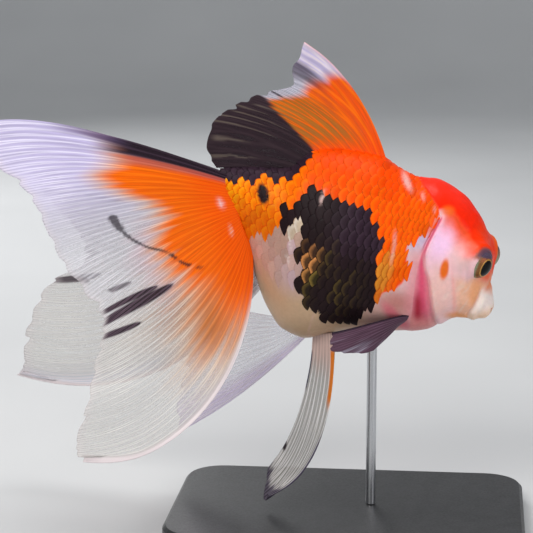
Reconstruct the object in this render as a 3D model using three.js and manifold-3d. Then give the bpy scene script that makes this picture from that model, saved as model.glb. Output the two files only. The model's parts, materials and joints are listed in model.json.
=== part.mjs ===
// Fancy goldfish, life size: a still display model on a stand.
// Millimetres. +X is the way the fish faces, +Y its left side, +Z up.
// The origin is the middle of the stand's underside.
//
// The fish is first made straight and level about its own reference point, in the middle of
// the trunk. Its body is then curved sideways, and a group tips its nose down on the stand.

import * as THREE from 'three';
import { mergeVertices } from 'three/addons/utils/BufferGeometryUtils.js';
import Module from 'manifold-3d';

const wasm = await Module();
wasm.setup();

// ---------------------------------------------------------------- driving dimensions

const GAP = 0.3; // between pieces that meet

// Pose
const NOSE_DOWN = 16; // degrees
const FISH_HEIGHT = 88; // of the reference point above the floor
const BEND_RADIUS = 320; // head and tail both curve to the fish's right
const BEND_TO = 46; // the curve runs this far each way from the middle, then goes on straight

// Body. Each line runs from the tail root to the lips: [x, value].
const TAIL_END = -43.8;
const NOSE_END = 47.2;
const BACK_LINE = [[-43.8, 7.9], [-36, 12.9], [-24, 17.0], [-18.5, 23.6], [-8, 27.2], [2, 28.0], [8, 26.2],
  [14, 25.2], [20, 25.9], [28, 24.0], [34, 19.9], [38, 15.6], [40.6, 11.2], [42.4, 5.4], [43.2, 1.2],
  [45.4, -2.0], [47.2, -6.2]];
const BELLY_LINE = [[-43.8, 7.3], [-39, 2], [-29, -11], [-25.6, -17], [-18.5, -26.6], [-12, -31.6],
  [-6, -32.4], [2, -28.6], [8, -25.6], [22, -21.3], [30, -18.0], [36.5, -12.2], [43, -10.4],
  [45.6, -9.4], [47.2, -6.8]];
const HALF_WIDTH = [[-43.8, 0.8], [-38, 4], [-30, 7.2], [-24, 10.6], [-17, 14.8], [-8, 18.8], [3, 21],
  [12, 20.4], [20, 18.8], [28, 16.6], [36, 13.2], [40, 10.6], [43, 7.4], [45.2, 5.6], [46.6, 4], [47.2, 1]];
const WIDEST_AT = [[-43.8, 7.6], [-36, 6.5], [-24, 0], [-8, -6], [12, -5], [26, -2], [38, -1.5], [47.2, -6.5]];
const BACK_FULLNESS = 1.85; // exponents of the section: 2 is an ellipse, more is squarer
const BELLY_FULLNESS = 2.15;
const BODY_RINGS = 32;
const FACE_RINGS = 10; // of those, the closely spaced ones from the eyes to the lips
const FACE_FROM = 38.5;
const BODY_SIDES = 26;

// Where the body is parted, in the side view: [x, z].
const GILL_SLIT = [[6, 40], [13.6, 25.8], [18.6, 22.6], [22.9, 19.4], [24.2, 17], [23, 11], [22.3, 6], [22.8, 0],
  [23.8, -6], [25, -14], [25.2, -22], [24, -40]];
const HOOD_EDGE = [[5, 19], [22, 19], [25, 19.6], [27.4, 19.8], [31, 17.2], [34.8, 14.4], [38, 11.2], [40.6, 8.8],
  [43, 7.4], [50, 6.4]];
const GILL_COVER_REAR = [[22.6, 18], [22, 13], [22, 8], [24.2, 3.4], [27, -0.5], [29.4, -6], [31.4, -11], [33, -15]];
const GILL_COVER_FRONT = [[26, 18], [29.6, 12], [32.4, 5], [34.6, -1], [36.4, -7], [37, -13]];
const TAIL_STEM_FROM = -24;
const GILL_COVER_LIFT = 0.7;
const GILL_COVER_THICKNESS = 2.4;

// Face
const EYE = { x: 39.1, y: 9.4, z: 7.5, radius: 4.6 };
const EYE_LOOKS = { forward: 0.78, out: 0.57, up: -0.26 }; // where the eye faces
const EYE_MOUND = { radius: 5.3, behind: 1.2 }; // the swelling of the head that holds the eye
const SOCKET_GAP = 0.4; // round the eyeball, and between its mound and the hood
const MOUTH = { x: 47.2, z: -6.6, depth: 2.6, width: 2.6, height: 0.8 };

// Fins. Each is a fan of rays, first to last, given by its key rays. A key ray says where across
// the fan it stands (at), where it leaves the body (root: x, how far off the middle, z), its
// length, and at even steps from root to tip how far it points below straight back (slope) and
// how far it leans out sideways (lean), in degrees.
const FIN_EDGE = 0.6; // thickness at the margin
const TAIL_RIGHT = {
  rays: 12, steps: 7, rootThickness: 1.8, scallop: 0.035,
  keys: [
    { at: 0, root: [-40.4, 0.9, 7.4], length: 84, slope: [-12, -1, 28], lean: [1, 4, 6] },
    { at: 0.2, root: [-38.4, 1.6, 4.6], length: 61, slope: [5, 14, 24], lean: [6, 14, 14] },
    { at: 0.4, root: [-36, 2.4, 1], length: 55, slope: [24, 33, 40], lean: [10, 20, 20] },
    { at: 0.52, root: [-34.4, 2.8, -1.2], length: 52, slope: [40, 47, 54], lean: [12, 24, 24] },
    { at: 0.66, root: [-32.6, 3.2, -3.8], length: 59, slope: [64, 52, 40], lean: [14, 28, 26] },
    { at: 0.8, root: [-30.8, 3.5, -6.2], length: 73, slope: [86, 58, 26], lean: [14, 28, 26] },
    { at: 0.9, root: [-29.4, 3.6, -8], length: 87, slope: [100, 63, 14], lean: [14, 26, 24] },
    { at: 1, root: [-28.2, 3.6, -9.6], length: 96, slope: [114, 84, 46, 0], lean: [12, 26, 22] },
  ],
};
const TAIL_LEFT = {
  rays: 12, steps: 7, rootThickness: 1.8, scallop: 0.035,
  keys: [
    { at: 0, root: [-40.4, 0.9, 7.4], length: 80, slope: [-12, 2, 32], lean: [1, 4, 6] },
    { at: 0.2, root: [-38.4, 1.6, 4.6], length: 61, slope: [6, 16, 28], lean: [6, 14, 14] },
    { at: 0.4, root: [-36, 2.4, 1], length: 53, slope: [24, 32, 38], lean: [10, 20, 20] },
    { at: 0.52, root: [-34.4, 2.8, -1.2], length: 55, slope: [36, 38, 38], lean: [12, 22, 22] },
    { at: 0.66, root: [-32.6, 3.2, -3.8], length: 70, slope: [52, 38, 22], lean: [14, 22, 20] },
    { at: 0.8, root: [-30.8, 3.5, -6.2], length: 87, slope: [72, 44, 12], lean: [14, 22, 20] },
    { at: 0.92, root: [-29.2, 3.6, -8.2], length: 103, slope: [88, 52, 6], lean: [14, 22, 20] },
    { at: 1, root: [-28.2, 3.6, -9.6], length: 111, slope: [96, 68, 32, 4], lean: [12, 22, 18] },
  ],
};
const DORSAL = {
  rays: 9, steps: 6, rootThickness: 1.8, scallop: 0.04,
  keys: [
    { at: 0, root: [4.2, 0, 25.6], length: 46.5, slope: [-60, -40, -18], lean: [0, 3, 4] },
    { at: 0.1, root: [1.4, 0, 26], length: 39, slope: [-54, -30, -12], lean: [0, 3, 4] },
    { at: 0.2, root: [-1.6, 0, 26], length: 32.5, slope: [-46, -24, -8], lean: [0, 3, 4] },
    { at: 0.35, root: [-6, 0, 25.4], length: 33, slope: [-38, -20, -4], lean: [0, 3, 3] },
    { at: 0.5, root: [-10.3, 0, 24.4], length: 33.5, slope: [-32, -12, 0], lean: [0, 2, 1] },
    { at: 0.65, root: [-14.3, 0, 23], length: 33, slope: [-26, -8, 4], lean: [0, 0, -1] },
    { at: 0.8, root: [-18, 0, 21.2], length: 32, slope: [-18, -4, 8], lean: [0, -1, -3] },
    { at: 0.9, root: [-21, 0, 18.4], length: 30, slope: [-8, 2, 10], lean: [0, -2, -4] },
    { at: 1, root: [-23.6, 0, 16], length: 25, slope: [4, 8, 12], lean: [0, -2, -4] },
  ],
};
const PELVIC_RIGHT = {
  rays: 5, steps: 7, rootThickness: 1.6, scallop: 0.04,
  keys: [
    { at: 0, root: [3.2, 9.4, -26], length: 58, slope: [112, 91, 42], lean: [10, 8, 0] },
    { at: 0.5, root: [0.4, 7.6, -27.4], length: 57, slope: [106, 92, 56], lean: [4, 2, 0] },
    { at: 1, root: [-2.4, 5.6, -28.6], length: 48, slope: [102, 94, 74], lean: [-4, -6, -6] },
  ],
};
const PELVIC_LEFT = {
  rays: 5, steps: 7, rootThickness: 1.6, scallop: 0.04,
  keys: [
    { at: 0, root: [-0.8, 8.6, -26], length: 67, slope: [68, 60, 50], lean: [14, 16, 12] },
    { at: 0.35, root: [-2.4, 7.8, -27.4], length: 52, slope: [56, 47, 34], lean: [16, 20, 18] },
    { at: 0.7, root: [-4, 7, -28.4], length: 38, slope: [36, 29, 22], lean: [16, 22, 22] },
    { at: 1, root: [-5.6, 6.4, -28.8], length: 25, slope: [14, 12, 10], lean: [16, 22, 24] },
  ],
};
const PECTORAL = {
  rays: 5, steps: 5, rootThickness: 1.4, scallop: 0.05,
  keys: [
    { at: 0, root: [25, 13.4, -12.4], length: 27, slope: [20, 27, 26], lean: [34, 22, 8] },
    { at: 0.4, root: [24.2, 12.6, -13.8], length: 27, slope: [36, 36, 30], lean: [36, 24, 10] },
    { at: 0.7, root: [23.4, 11.8, -15], length: 20, slope: [50, 46, 40], lean: [36, 26, 16] },
    { at: 1, root: [22.6, 11, -16], length: 13, slope: [64, 60, 58], lean: [36, 28, 20] },
  ],
};
const ANAL = {
  rays: 4, steps: 4, rootThickness: 1.4, scallop: 0.05,
  keys: [
    { at: 0, root: [-21.2, 2.4, -19.4], length: 23, slope: [66, 62, 50], lean: [4, 8, 8] },
    { at: 0.5, root: [-24, 2.6, -15.6], length: 19, slope: [54, 48, 40], lean: [4, 8, 8] },
    { at: 1, root: [-26.6, 2.8, -11.8], length: 14, slope: [38, 34, 30], lean: [4, 8, 8] },
  ],
};

// Stand
const BASE = { length: 108, width: 74, height: 6, corner: 12, bevel: 1 };
const ROD = { x: 7, diameter: 3, top: 75 };

// Colours
const ORANGE = 0xf0641a;
const RED = 0xe8321a;
const PEARL = 0xead6d2;
const DUSK = 0x5a4a58;
const VEIL = 0xd8d4de;

// ---------------------------------------------------------------- small tools

const { sin, cos, abs, sign, pow, min, max, PI } = Math;
const radians = (degrees) => (degrees * PI) / 180;
const mix = (a, b, t) => a + (b - a) * t;
const clamp01 = (t) => min(1, max(0, t));

// A smooth line through [x, value] pairs that never overshoots them.
function smoothLine(points) {
  const count = points.length;
  const slopes = points.slice(1).map((p, i) => (p[1] - points[i][1]) / (p[0] - points[i][0]));
  const tangents = points.map((p, i) => {
    if (i === 0) return slopes[0];
    if (i === count - 1) return slopes[count - 2];
    const [before, after] = [slopes[i - 1], slopes[i]];
    return before * after <= 0 ? 0 : (2 * before * after) / (before + after);
  });
  return (x) => {
    let i = 0;
    while (i < count - 2 && x > points[i + 1][0]) i += 1;
    const span = points[i + 1][0] - points[i][0];
    const t = clamp01((x - points[i][0]) / span);
    const [t2, t3] = [t * t, t * t * t];
    return (2 * t3 - 3 * t2 + 1) * points[i][1] + (t3 - 2 * t2 + t) * span * tangents[i]
      + (3 * t2 - 2 * t3) * points[i + 1][1] + (t3 - t2) * span * tangents[i + 1];
  };
}

function meshFrom(positions, triangles) {
  const geometry = new THREE.BufferGeometry();
  geometry.setAttribute('position', new THREE.Float32BufferAttribute(positions, 3));
  geometry.setIndex(triangles);
  return geometry;
}

function solid(geometry) {
  const bare = geometry.clone();
  bare.deleteAttribute('normal');
  bare.deleteAttribute('uv');
  const merged = mergeVertices(bare, 1e-4);
  return new wasm.Manifold(new wasm.Mesh({
    numProp: 3,
    vertProperties: new Float32Array(merged.attributes.position.array),
    triVerts: new Uint32Array(merged.index.array),
  }));
}

function geometryOf(manifold) {
  const mesh = manifold.getMesh();
  const positions = [];
  for (let i = 0; i < mesh.vertProperties.length; i += mesh.numProp) {
    positions.push(mesh.vertProperties[i], mesh.vertProperties[i + 1], mesh.vertProperties[i + 2]);
  }
  return meshFrom(positions, Array.from(mesh.triVerts));
}

// The sideways curve of the body: x is measured along the curved middle line.
function curved(geometry) {
  const place = geometry.attributes.position;
  for (let i = 0; i < place.count; i += 1) {
    const [x, y] = [place.getX(i), place.getY(i)];
    const along = max(-BEND_TO, min(BEND_TO, x));
    const turn = along / BEND_RADIUS;
    const rest = x - along;
    place.setXY(i,
      BEND_RADIUS * sin(turn) + rest * cos(turn) + y * sin(turn),
      -BEND_RADIUS * (1 - cos(turn)) - rest * sin(turn) + y * cos(turn));
  }
  geometry.computeVertexNormals();
  return geometry;
}

function paint(color, roughness = 0.4, metalness = 0) {
  return new THREE.MeshStandardMaterial({ color, roughness, metalness, side: THREE.DoubleSide });
}

// ---------------------------------------------------------------- body surface

const backLine = smoothLine(BACK_LINE);
const bellyLine = smoothLine(BELLY_LINE);
const halfWidth = smoothLine(HALF_WIDTH);
const widestAt = smoothLine(WIDEST_AT);

// A point of the skin: x along the fish, angle round it from the left flank over the back.
function skinPoint(x, angle) {
  const [c, s] = [cos(angle), sin(angle)];
  const fullness = s > 0 ? BACK_FULLNESS : BELLY_FULLNESS;
  const middle = min(backLine(x) - 0.1, max(bellyLine(x) + 0.1, widestAt(x)));
  const reach = s > 0 ? backLine(x) - middle : middle - bellyLine(x);
  return new THREE.Vector3(
    x,
    halfWidth(x) * sign(c) * pow(abs(c), 2 / fullness),
    middle + reach * sign(s) * pow(abs(s), 2 / fullness),
  );
}

function skinNormal(x, angle) {
  const step = 0.02;
  const alongX = skinPoint(x + step, angle).sub(skinPoint(x - step, angle));
  const around = skinPoint(x, angle + step).sub(skinPoint(x, angle - step));
  return around.cross(alongX).normalize();
}

function ringPlaces() {
  const places = [];
  const trunkRings = BODY_RINGS - FACE_RINGS;
  for (let i = 1; i <= trunkRings; i += 1) places.push(mix(TAIL_END, FACE_FROM, i / (trunkRings + 1)));
  for (let i = 0; i < FACE_RINGS; i += 1) {
    const left = 1 - i / FACE_RINGS;
    places.push(NOSE_END - (NOSE_END - FACE_FROM) * pow(left, 1.6));
  }
  return places;
}

// The body as one closed surface, or its length between two places. It is grown by a few tenths
// where it has to clear a neighbour, and shrunk for the inside of a plate.
function bodySolid(grow = 0, from = TAIL_END, to = NOSE_END) {
  const places = ringPlaces().filter((x) => x > from && x < to);
  const ends = [from, to].map((x) => (backLine(x) + bellyLine(x)) / 2);
  const whole = from === TAIL_END;
  const positions = [whole ? from - grow : places[0], 0, ends[0]];
  places.forEach((x) => {
    for (let k = 0; k < BODY_SIDES; k += 1) {
      const angle = (2 * PI * (k + 0.5)) / BODY_SIDES;
      const point = skinPoint(x, angle).addScaledVector(skinNormal(x, angle), grow);
      positions.push(whole ? point.x : x, point.y, point.z);
    }
  });
  positions.push(whole ? to + grow : places[places.length - 1], 0, ends[1]);
  const triangles = [];
  const vertex = (ring, side) => 1 + ring * BODY_SIDES + (side % BODY_SIDES);
  const last = positions.length / 3 - 1;
  const lastRing = places.length - 1;
  for (let k = 0; k < BODY_SIDES; k += 1) {
    triangles.push(0, vertex(0, k + 1), vertex(0, k));
    for (let i = 0; i < lastRing; i += 1) {
      const [a, b, c, d] = [vertex(i, k), vertex(i, k + 1), vertex(i + 1, k + 1), vertex(i + 1, k)];
      triangles.push(a, b, c, a, c, d);
    }
    triangles.push(vertex(lastRing, k), vertex(lastRing, k + 1), last);
  }
  return solid(meshFrom(positions, triangles));
}

// ---------------------------------------------------------------- parting the body

const SLAB = 60; // half width of a cutting block, wider than the fish

// A block whose side view is a closed line of [x, z] points, reaching sideways from y0 to y1.
function sideBlock(outline, y0 = -SLAB, y1 = SLAB) {
  const shape = new THREE.Shape(outline.map(([x, z]) => new THREE.Vector2(x, z)));
  const block = new THREE.ExtrudeGeometry(shape, { depth: y1 - y0, bevelEnabled: false });
  block.rotateX(PI / 2);
  block.translate(0, y1, 0);
  return solid(block);
}

// A smooth open line through [x, z] points, moved sideways by `shift` in the side view.
function openLine(points, steps, shift = 0) {
  const curve = new THREE.SplineCurve(points.map(([x, z]) => new THREE.Vector2(x, z)));
  return curve.getSpacedPoints(steps).map((p, i) => {
    const tangent = curve.getTangentAt(i / steps);
    return [p.x - tangent.y * shift, p.y + tangent.x * shift];
  });
}

// The head lies ahead of the gill slit, and the hood above its own edge. A positive shift makes
// both smaller.
const headBlock = (shift) => sideBlock([...openLine(GILL_SLIT, 26, shift), [70, -40], [70, 40]]);
const hoodBlock = (shift) => sideBlock([...openLine(HOOD_EDGE, 15, shift), [60, 50], [5, 50]]);

// The gill cover's outline, between its rear and front lines. At the top its rear line lies behind
// the slit, so the cover reaches the slit there. The recess for it in the head is wider by the gap.
function gillCoverBlock(isRecess, side) {
  const grow = isRecess ? GAP : 0;
  const behind = openLine(GILL_COVER_REAR, 9, -grow);
  const front = openLine([...GILL_COVER_FRONT].reverse(), 7, -grow);
  behind[0][1] += grow;
  behind[behind.length - 1][1] -= grow;
  front[0][1] -= grow;
  front[front.length - 1][1] += grow;
  const [y0, y1] = side > 0 ? [5, SLAB] : [-SLAB, -5];
  return sideBlock([...behind, ...front], y0, y1);
}

// ---------------------------------------------------------------- fins

// The points of a fan, ray by ray from its first to its last. A ray stands on every second row,
// and the margin is nicked between the rays.
function fanPoints(fin, side) {
  const across = (read) => smoothLine(fin.keys.map((key) => [key.at, read(key)]));
  const root = [0, 1, 2].map((axis) => across((key) => key.root[axis]));
  const lengthAt = across((key) => key.length);
  const angleAt = (name, v) => across((key) => {
    const steps = key[name].length - 1;
    return smoothLine(key[name].map((angle, i) => [i / steps, angle]))(v);
  });
  const rowCount = 2 * fin.rays;
  const rows = Array.from({ length: rowCount + 1 }, (_, i) => {
    const u = i / rowCount;
    return [new THREE.Vector3(root[0](u), side * root[1](u), root[2](u))];
  });
  for (let j = 0; j < fin.steps; j += 1) {
    const v = (j + 0.5) / fin.steps;
    const [slopeAt, leanAt] = [angleAt('slope', v), angleAt('lean', v)];
    rows.forEach((row, i) => {
      const u = i / rowCount;
      const nick = i % 2 === 1 ? fin.scallop : 0;
      const step = (lengthAt(u) * (1 - nick)) / fin.steps;
      const [down, out] = [radians(slopeAt(u)), radians(leanAt(u))];
      row.push(row[j].clone().add(new THREE.Vector3(
        -cos(down) * cos(out) * step,
        side * sin(out) * step,
        -sin(down) * cos(out) * step,
      )));
    });
  }
  return rows;
}

function finSolid(fin, side) {
  const rows = fanPoints(fin, side);
  const [nu, nv] = [2 * fin.rays, fin.steps];
  const sideways = (i, j) => {
    const alongRay = rows[i][min(nv, j + 1)].clone().sub(rows[i][max(0, j - 1)]);
    const acrossFan = rows[min(nu, i + 1)][j].clone().sub(rows[max(0, i - 1)][j]);
    return acrossFan.cross(alongRay).normalize();
  };
  const positions = [];
  [1, -1].forEach((face) => {
    rows.forEach((row, i) => row.forEach((point, j) => {
      const half = mix(fin.rootThickness, FIN_EDGE, pow(j / nv, 0.6)) / 2;
      const place = point.clone().addScaledVector(sideways(i, j), face * half);
      positions.push(place.x, place.y, place.z);
    }));
  });
  const vertex = (face, i, j) => (face * (nu + 1) + i) * (nv + 1) + j;
  const triangles = [];
  const quad = (a, b, c, d) => triangles.push(a, b, c, a, c, d);
  for (let i = 0; i < nu; i += 1) {
    for (let j = 0; j < nv; j += 1) {
      quad(vertex(0, i, j), vertex(0, i + 1, j), vertex(0, i + 1, j + 1), vertex(0, i, j + 1));
      quad(vertex(1, i, j), vertex(1, i, j + 1), vertex(1, i + 1, j + 1), vertex(1, i + 1, j));
    }
    quad(vertex(0, i + 1, 0), vertex(0, i, 0), vertex(1, i, 0), vertex(1, i + 1, 0));
    quad(vertex(0, i, nv), vertex(0, i + 1, nv), vertex(1, i + 1, nv), vertex(1, i, nv));
  }
  for (let j = 0; j < nv; j += 1) {
    quad(vertex(0, 0, j), vertex(0, 0, j + 1), vertex(1, 0, j + 1), vertex(1, 0, j));
    quad(vertex(0, nu, j + 1), vertex(0, nu, j), vertex(1, nu, j), vertex(1, nu, j + 1));
  }
  const made = solid(meshFrom(positions, triangles));
  if (made.volume() > 0) return made;
  const flipped = [];
  for (let i = 0; i < triangles.length; i += 3) flipped.push(triangles[i], triangles[i + 2], triangles[i + 1]);
  return solid(meshFrom(positions, flipped));
}

// ---------------------------------------------------------------- the model

const SIDES = { right: -1, left: 1 };
const model = new THREE.Group();
const fish = new THREE.Group();
fish.rotation.y = radians(NOSE_DOWN);
fish.position.z = FISH_HEIGHT;
model.add(fish);

function addPiece(parent, name, geometry, material) {
  const mesh = new THREE.Mesh(geometry, material);
  mesh.name = name;
  parent.add(mesh);
}

function addFlesh(name, manifold, material) {
  addPiece(fish, name, curved(geometryOf(manifold)), material);
}

const wholeBody = bodySolid();
const clearOfBody = bodySolid(GAP);

function eyeBall(side, grow = 0) {
  const [round, down] = grow ? [12, 8] : [14, 10];
  const ball = new THREE.SphereGeometry(EYE.radius + grow, round, down);
  return ball.rotateX(PI / 2).translate(EYE.x, side * EYE.y, EYE.z);
}

function eyeMound(side, grow = 0) {
  const { forward, out, up } = EYE_LOOKS;
  const mound = new THREE.SphereGeometry(EYE_MOUND.radius + grow, 14, 8);
  mound.rotateX(PI / 2).translate(
    EYE.x - forward * EYE_MOUND.behind,
    side * (EYE.y - out * EYE_MOUND.behind),
    EYE.z - up * EYE_MOUND.behind,
  );
  return solid(mound);
}

function mouthOpening() {
  const gape = new THREE.SphereGeometry(1, 10, 6);
  return gape.scale(MOUTH.depth, MOUTH.width, MOUTH.height).translate(MOUTH.x, 0, MOUTH.z);
}

const aheadOfGills = wholeBody.intersect(headBlock(GAP / 2));
let hood = aheadOfGills.intersect(hoodBlock(GAP / 2));
let head = aheadOfGills.subtract(hoodBlock(-GAP / 2)).subtract(solid(mouthOpening()));
Object.values(SIDES).forEach((side) => {
  hood = hood.subtract(eyeMound(side, SOCKET_GAP));
  head = head.add(eyeMound(side));
});
Object.entries(SIDES).forEach(([name, side]) => {
  const inside = bodySolid(-GILL_COVER_THICKNESS, 14, 42);
  const recess = bodySolid(-GILL_COVER_THICKNESS - GAP, 14, 42);
  const outline = gillCoverBlock(false, side).intersect(headBlock(GAP / 2));
  const plate = bodySolid(GILL_COVER_LIFT).intersect(outline).subtract(inside);
  head = head.subtract(gillCoverBlock(true, side).subtract(recess)).subtract(solid(eyeBall(side, SOCKET_GAP)));
  addFlesh(`gill_cover_${name}`, plate, paint(PEARL, 0.3));
  addPiece(fish, `eye_${name}`, curved(eyeBall(side)), paint(0x241a12, 0.1));
});
const behindHead = wholeBody.subtract(headBlock(-GAP / 2));
const tailStemBlock = (edge) => sideBlock([[-80, -60], [edge, -60], [edge, 60], [-80, 60]]);
addFlesh('hood', hood, paint(RED, 0.45));
addFlesh('head', head, paint(PEARL, 0.35));
addFlesh('trunk', behindHead.subtract(tailStemBlock(TAIL_STEM_FROM + GAP / 2)), paint(ORANGE, 0.35));
addFlesh('tail_stem', behindHead.intersect(tailStemBlock(TAIL_STEM_FROM - GAP / 2)), paint(ORANGE, 0.35));

function addFin(name, fin, side, material) {
  addFlesh(name, finSolid(fin, side).subtract(clearOfBody), material);
}

addFin('dorsal_fin', DORSAL, 1, paint(ORANGE, 0.5));
addFin('tail_fin_right', TAIL_RIGHT, SIDES.right, paint(VEIL, 0.5));
addFin('tail_fin_left', TAIL_LEFT, SIDES.left, paint(VEIL, 0.5));
addFin('pelvic_fin_right', PELVIC_RIGHT, SIDES.right, paint(VEIL, 0.5));
addFin('pelvic_fin_left', PELVIC_LEFT, SIDES.left, paint(VEIL, 0.5));
Object.entries(SIDES).forEach(([name, side]) => {
  addFin(`pectoral_fin_${name}`, PECTORAL, side, paint(DUSK, 0.5));
  addFin(`anal_fin_${name}`, ANAL, side, paint(VEIL, 0.5));
});

// ---------------------------------------------------------------- stand

function standBase() {
  const { length, width, height, corner, bevel } = BASE;
  const [x, y, r] = [length / 2 - bevel, width / 2 - bevel, corner - bevel];
  const plan = new THREE.Shape();
  plan.moveTo(-x + r, -y);
  plan.lineTo(x - r, -y);
  plan.absarc(x - r, -y + r, r, -PI / 2, 0);
  plan.lineTo(x, y - r);
  plan.absarc(x - r, y - r, r, 0, PI / 2);
  plan.lineTo(-x + r, y);
  plan.absarc(-x + r, y - r, r, PI / 2, PI);
  plan.lineTo(-x, -y + r);
  plan.absarc(-x + r, -y + r, r, PI, 1.5 * PI);
  const plate = new THREE.ExtrudeGeometry(plan, {
    depth: height - 2 * bevel, bevelThickness: bevel, bevelSize: bevel, bevelSegments: 1, curveSegments: 4,
  });
  return plate.translate(0, 0, bevel);
}

// The rod rises from the base to the belly and ends a hair below it.
function standRod() {
  const tall = ROD.top - BASE.height - GAP;
  const rod = new THREE.CylinderGeometry(ROD.diameter / 2, ROD.diameter / 2, tall, 20, 1);
  rod.rotateX(PI / 2).translate(ROD.x, 0, BASE.height + GAP + tall / 2);
  const belly = curved(geometryOf(clearOfBody));
  fish.updateMatrixWorld(true);
  belly.applyMatrix4(fish.matrixWorld);
  return geometryOf(solid(rod).subtract(solid(belly)));
}

addPiece(model, 'stand_base', standBase(), paint(0x1c1c1e, 0.35));
addPiece(model, 'stand_rod', standRod(), paint(0xb8bcc0, 0.25, 1));

export default model;
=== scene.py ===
"""Fancy goldfish, life size, on a plain display stand.

The fish is made straight and level, in millimetres, about its own reference point: +X is the
way it faces, +Y its left side, +Z up. The body is then curved sideways, tipped nose down, set
on the stand and scaled to metres, as the solids are. Places on the fish are given in that
straight frame. "Side view" means its X and Z.
"""
import json
import math
from functools import partial
from itertools import zip_longest

import bpy
import numpy as np
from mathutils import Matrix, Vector

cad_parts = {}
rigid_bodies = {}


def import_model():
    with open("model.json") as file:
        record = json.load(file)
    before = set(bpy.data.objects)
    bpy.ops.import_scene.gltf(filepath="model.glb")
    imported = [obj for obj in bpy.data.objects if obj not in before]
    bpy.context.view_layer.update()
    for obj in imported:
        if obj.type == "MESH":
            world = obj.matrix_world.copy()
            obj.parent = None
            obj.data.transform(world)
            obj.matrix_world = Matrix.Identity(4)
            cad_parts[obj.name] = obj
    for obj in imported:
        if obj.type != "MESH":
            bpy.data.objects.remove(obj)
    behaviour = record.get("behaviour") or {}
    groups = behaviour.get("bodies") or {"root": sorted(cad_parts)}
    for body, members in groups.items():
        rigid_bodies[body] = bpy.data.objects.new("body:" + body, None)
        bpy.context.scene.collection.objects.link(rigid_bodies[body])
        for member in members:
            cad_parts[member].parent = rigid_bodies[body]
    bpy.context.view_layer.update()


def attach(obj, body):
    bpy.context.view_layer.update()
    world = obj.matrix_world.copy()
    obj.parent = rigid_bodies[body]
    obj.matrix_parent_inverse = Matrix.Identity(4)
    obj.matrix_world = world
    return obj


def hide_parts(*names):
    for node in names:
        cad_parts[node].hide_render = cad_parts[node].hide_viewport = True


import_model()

MM = 0.001
SEED = 7

# ---------------------------------------------------------------- pose and body, as the solids have them

NOSE_DOWN = math.radians(16)
FISH_HEIGHT = 88
BEND_RADIUS = 320
BEND_TO = 46

TAIL_END = -43.8
NOSE_END = 47.2
BACK_LINE = [[-43.8, 11], [-36, 13.5], [-24, 17], [-18.5, 23.6], [-8, 27.2], [2, 28], [8, 26.2],
             [14, 25.2], [20, 25.9], [28, 24], [34, 19.9], [38, 15.6], [40.6, 11.2], [42.4, 5.4],
             [43.2, 1.2], [45.4, -2], [47.2, -6.2]]
BELLY_LINE = [[-43.8, 7.3], [-39, 2], [-29, -11], [-25.6, -17], [-18.5, -26.6], [-12, -31.6],
              [-6, -32.4], [2, -28.6], [8, -25.6], [22, -21.3], [30, -18], [36.5, -12.2], [43, -10.4],
              [45.6, -9.4], [47.2, -6.8]]
HALF_WIDTH = [[-43.8, 0.8], [-38, 4], [-30, 7.2], [-24, 10.6], [-17, 14.8], [-8, 18.8], [3, 21],
              [12, 20.4], [20, 18.8], [28, 16.6], [36, 13.2], [40, 10.6], [43, 7.4], [45.2, 5.6],
              [46.6, 4], [47.2, 1]]
WIDEST_AT = [[-43.8, 7.6], [-36, 6.5], [-24, 0], [-8, -6], [12, -5], [26, -2], [38, -1.5], [47.2, -6.5]]
BACK_FULLNESS = 1.85
BELLY_FULLNESS = 2.15

GILL_SLIT = [[6, 40], [13.6, 25.8], [18.6, 22.6], [22.9, 19.4], [24.2, 17], [23, 11], [22.3, 6], [22.8, 0],
             [23.8, -6], [25, -14], [25.2, -22], [24, -40]]
HOOD_EDGE = [[5, 19], [22, 19], [25, 19.6], [27.4, 19.8], [31, 17.2], [34.8, 14.4], [38, 11.2], [40.6, 8.8],
             [43, 7.4], [50, 6.4]]
GILL_COVER_REAR = [[24.8, 17.6], [23.8, 13], [23, 7], [24.6, 3], [27, -0.5], [29.4, -6], [31.4, -11],
                   [33, -15]]
GILL_COVER_FRONT = [[26, 18], [29.6, 12], [32.4, 5], [34.6, -1], [36.4, -7], [37, -13]]

EYE = {"x": 38.9, "y": 9.4, "z": 7.4, "radius": 4.6}
EYE_LOOKS = {"forward": 0.82, "out": 0.56, "up": -0.12}
MOUTH_HEIGHT = -6.6

# Fins: their thickness at the root, and the main rays from the first to the last. A ray has its
# place along the fin, its root, its length, and its slopes down and leans outwards in degrees from
# root to margin.
TAIL_RIGHT = {"root_thickness": 1.8, "rays": (
    (0, (-40.4, 0.9, 9.4), 84, (-6, 0, 28), (1, 4, 6)),
    (0.2, (-38.4, 1.6, 4.6), 61, (5, 14, 24), (6, 14, 14)),
    (0.4, (-36, 2.4, 1), 55, (24, 33, 40), (10, 20, 20)),
    (0.52, (-34.4, 2.8, -1.2), 52, (40, 47, 54), (12, 24, 24)),
    (0.66, (-32.6, 3.2, -3.8), 59, (64, 52, 40), (14, 28, 26)),
    (0.8, (-30.8, 3.5, -6.2), 73, (86, 58, 26), (14, 28, 26)),
    (0.9, (-29.4, 3.6, -8), 87, (100, 63, 14), (14, 26, 24)),
    (1, (-28.2, 3.6, -9.6), 96, (114, 84, 46, 0), (12, 26, 22)))}
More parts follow.
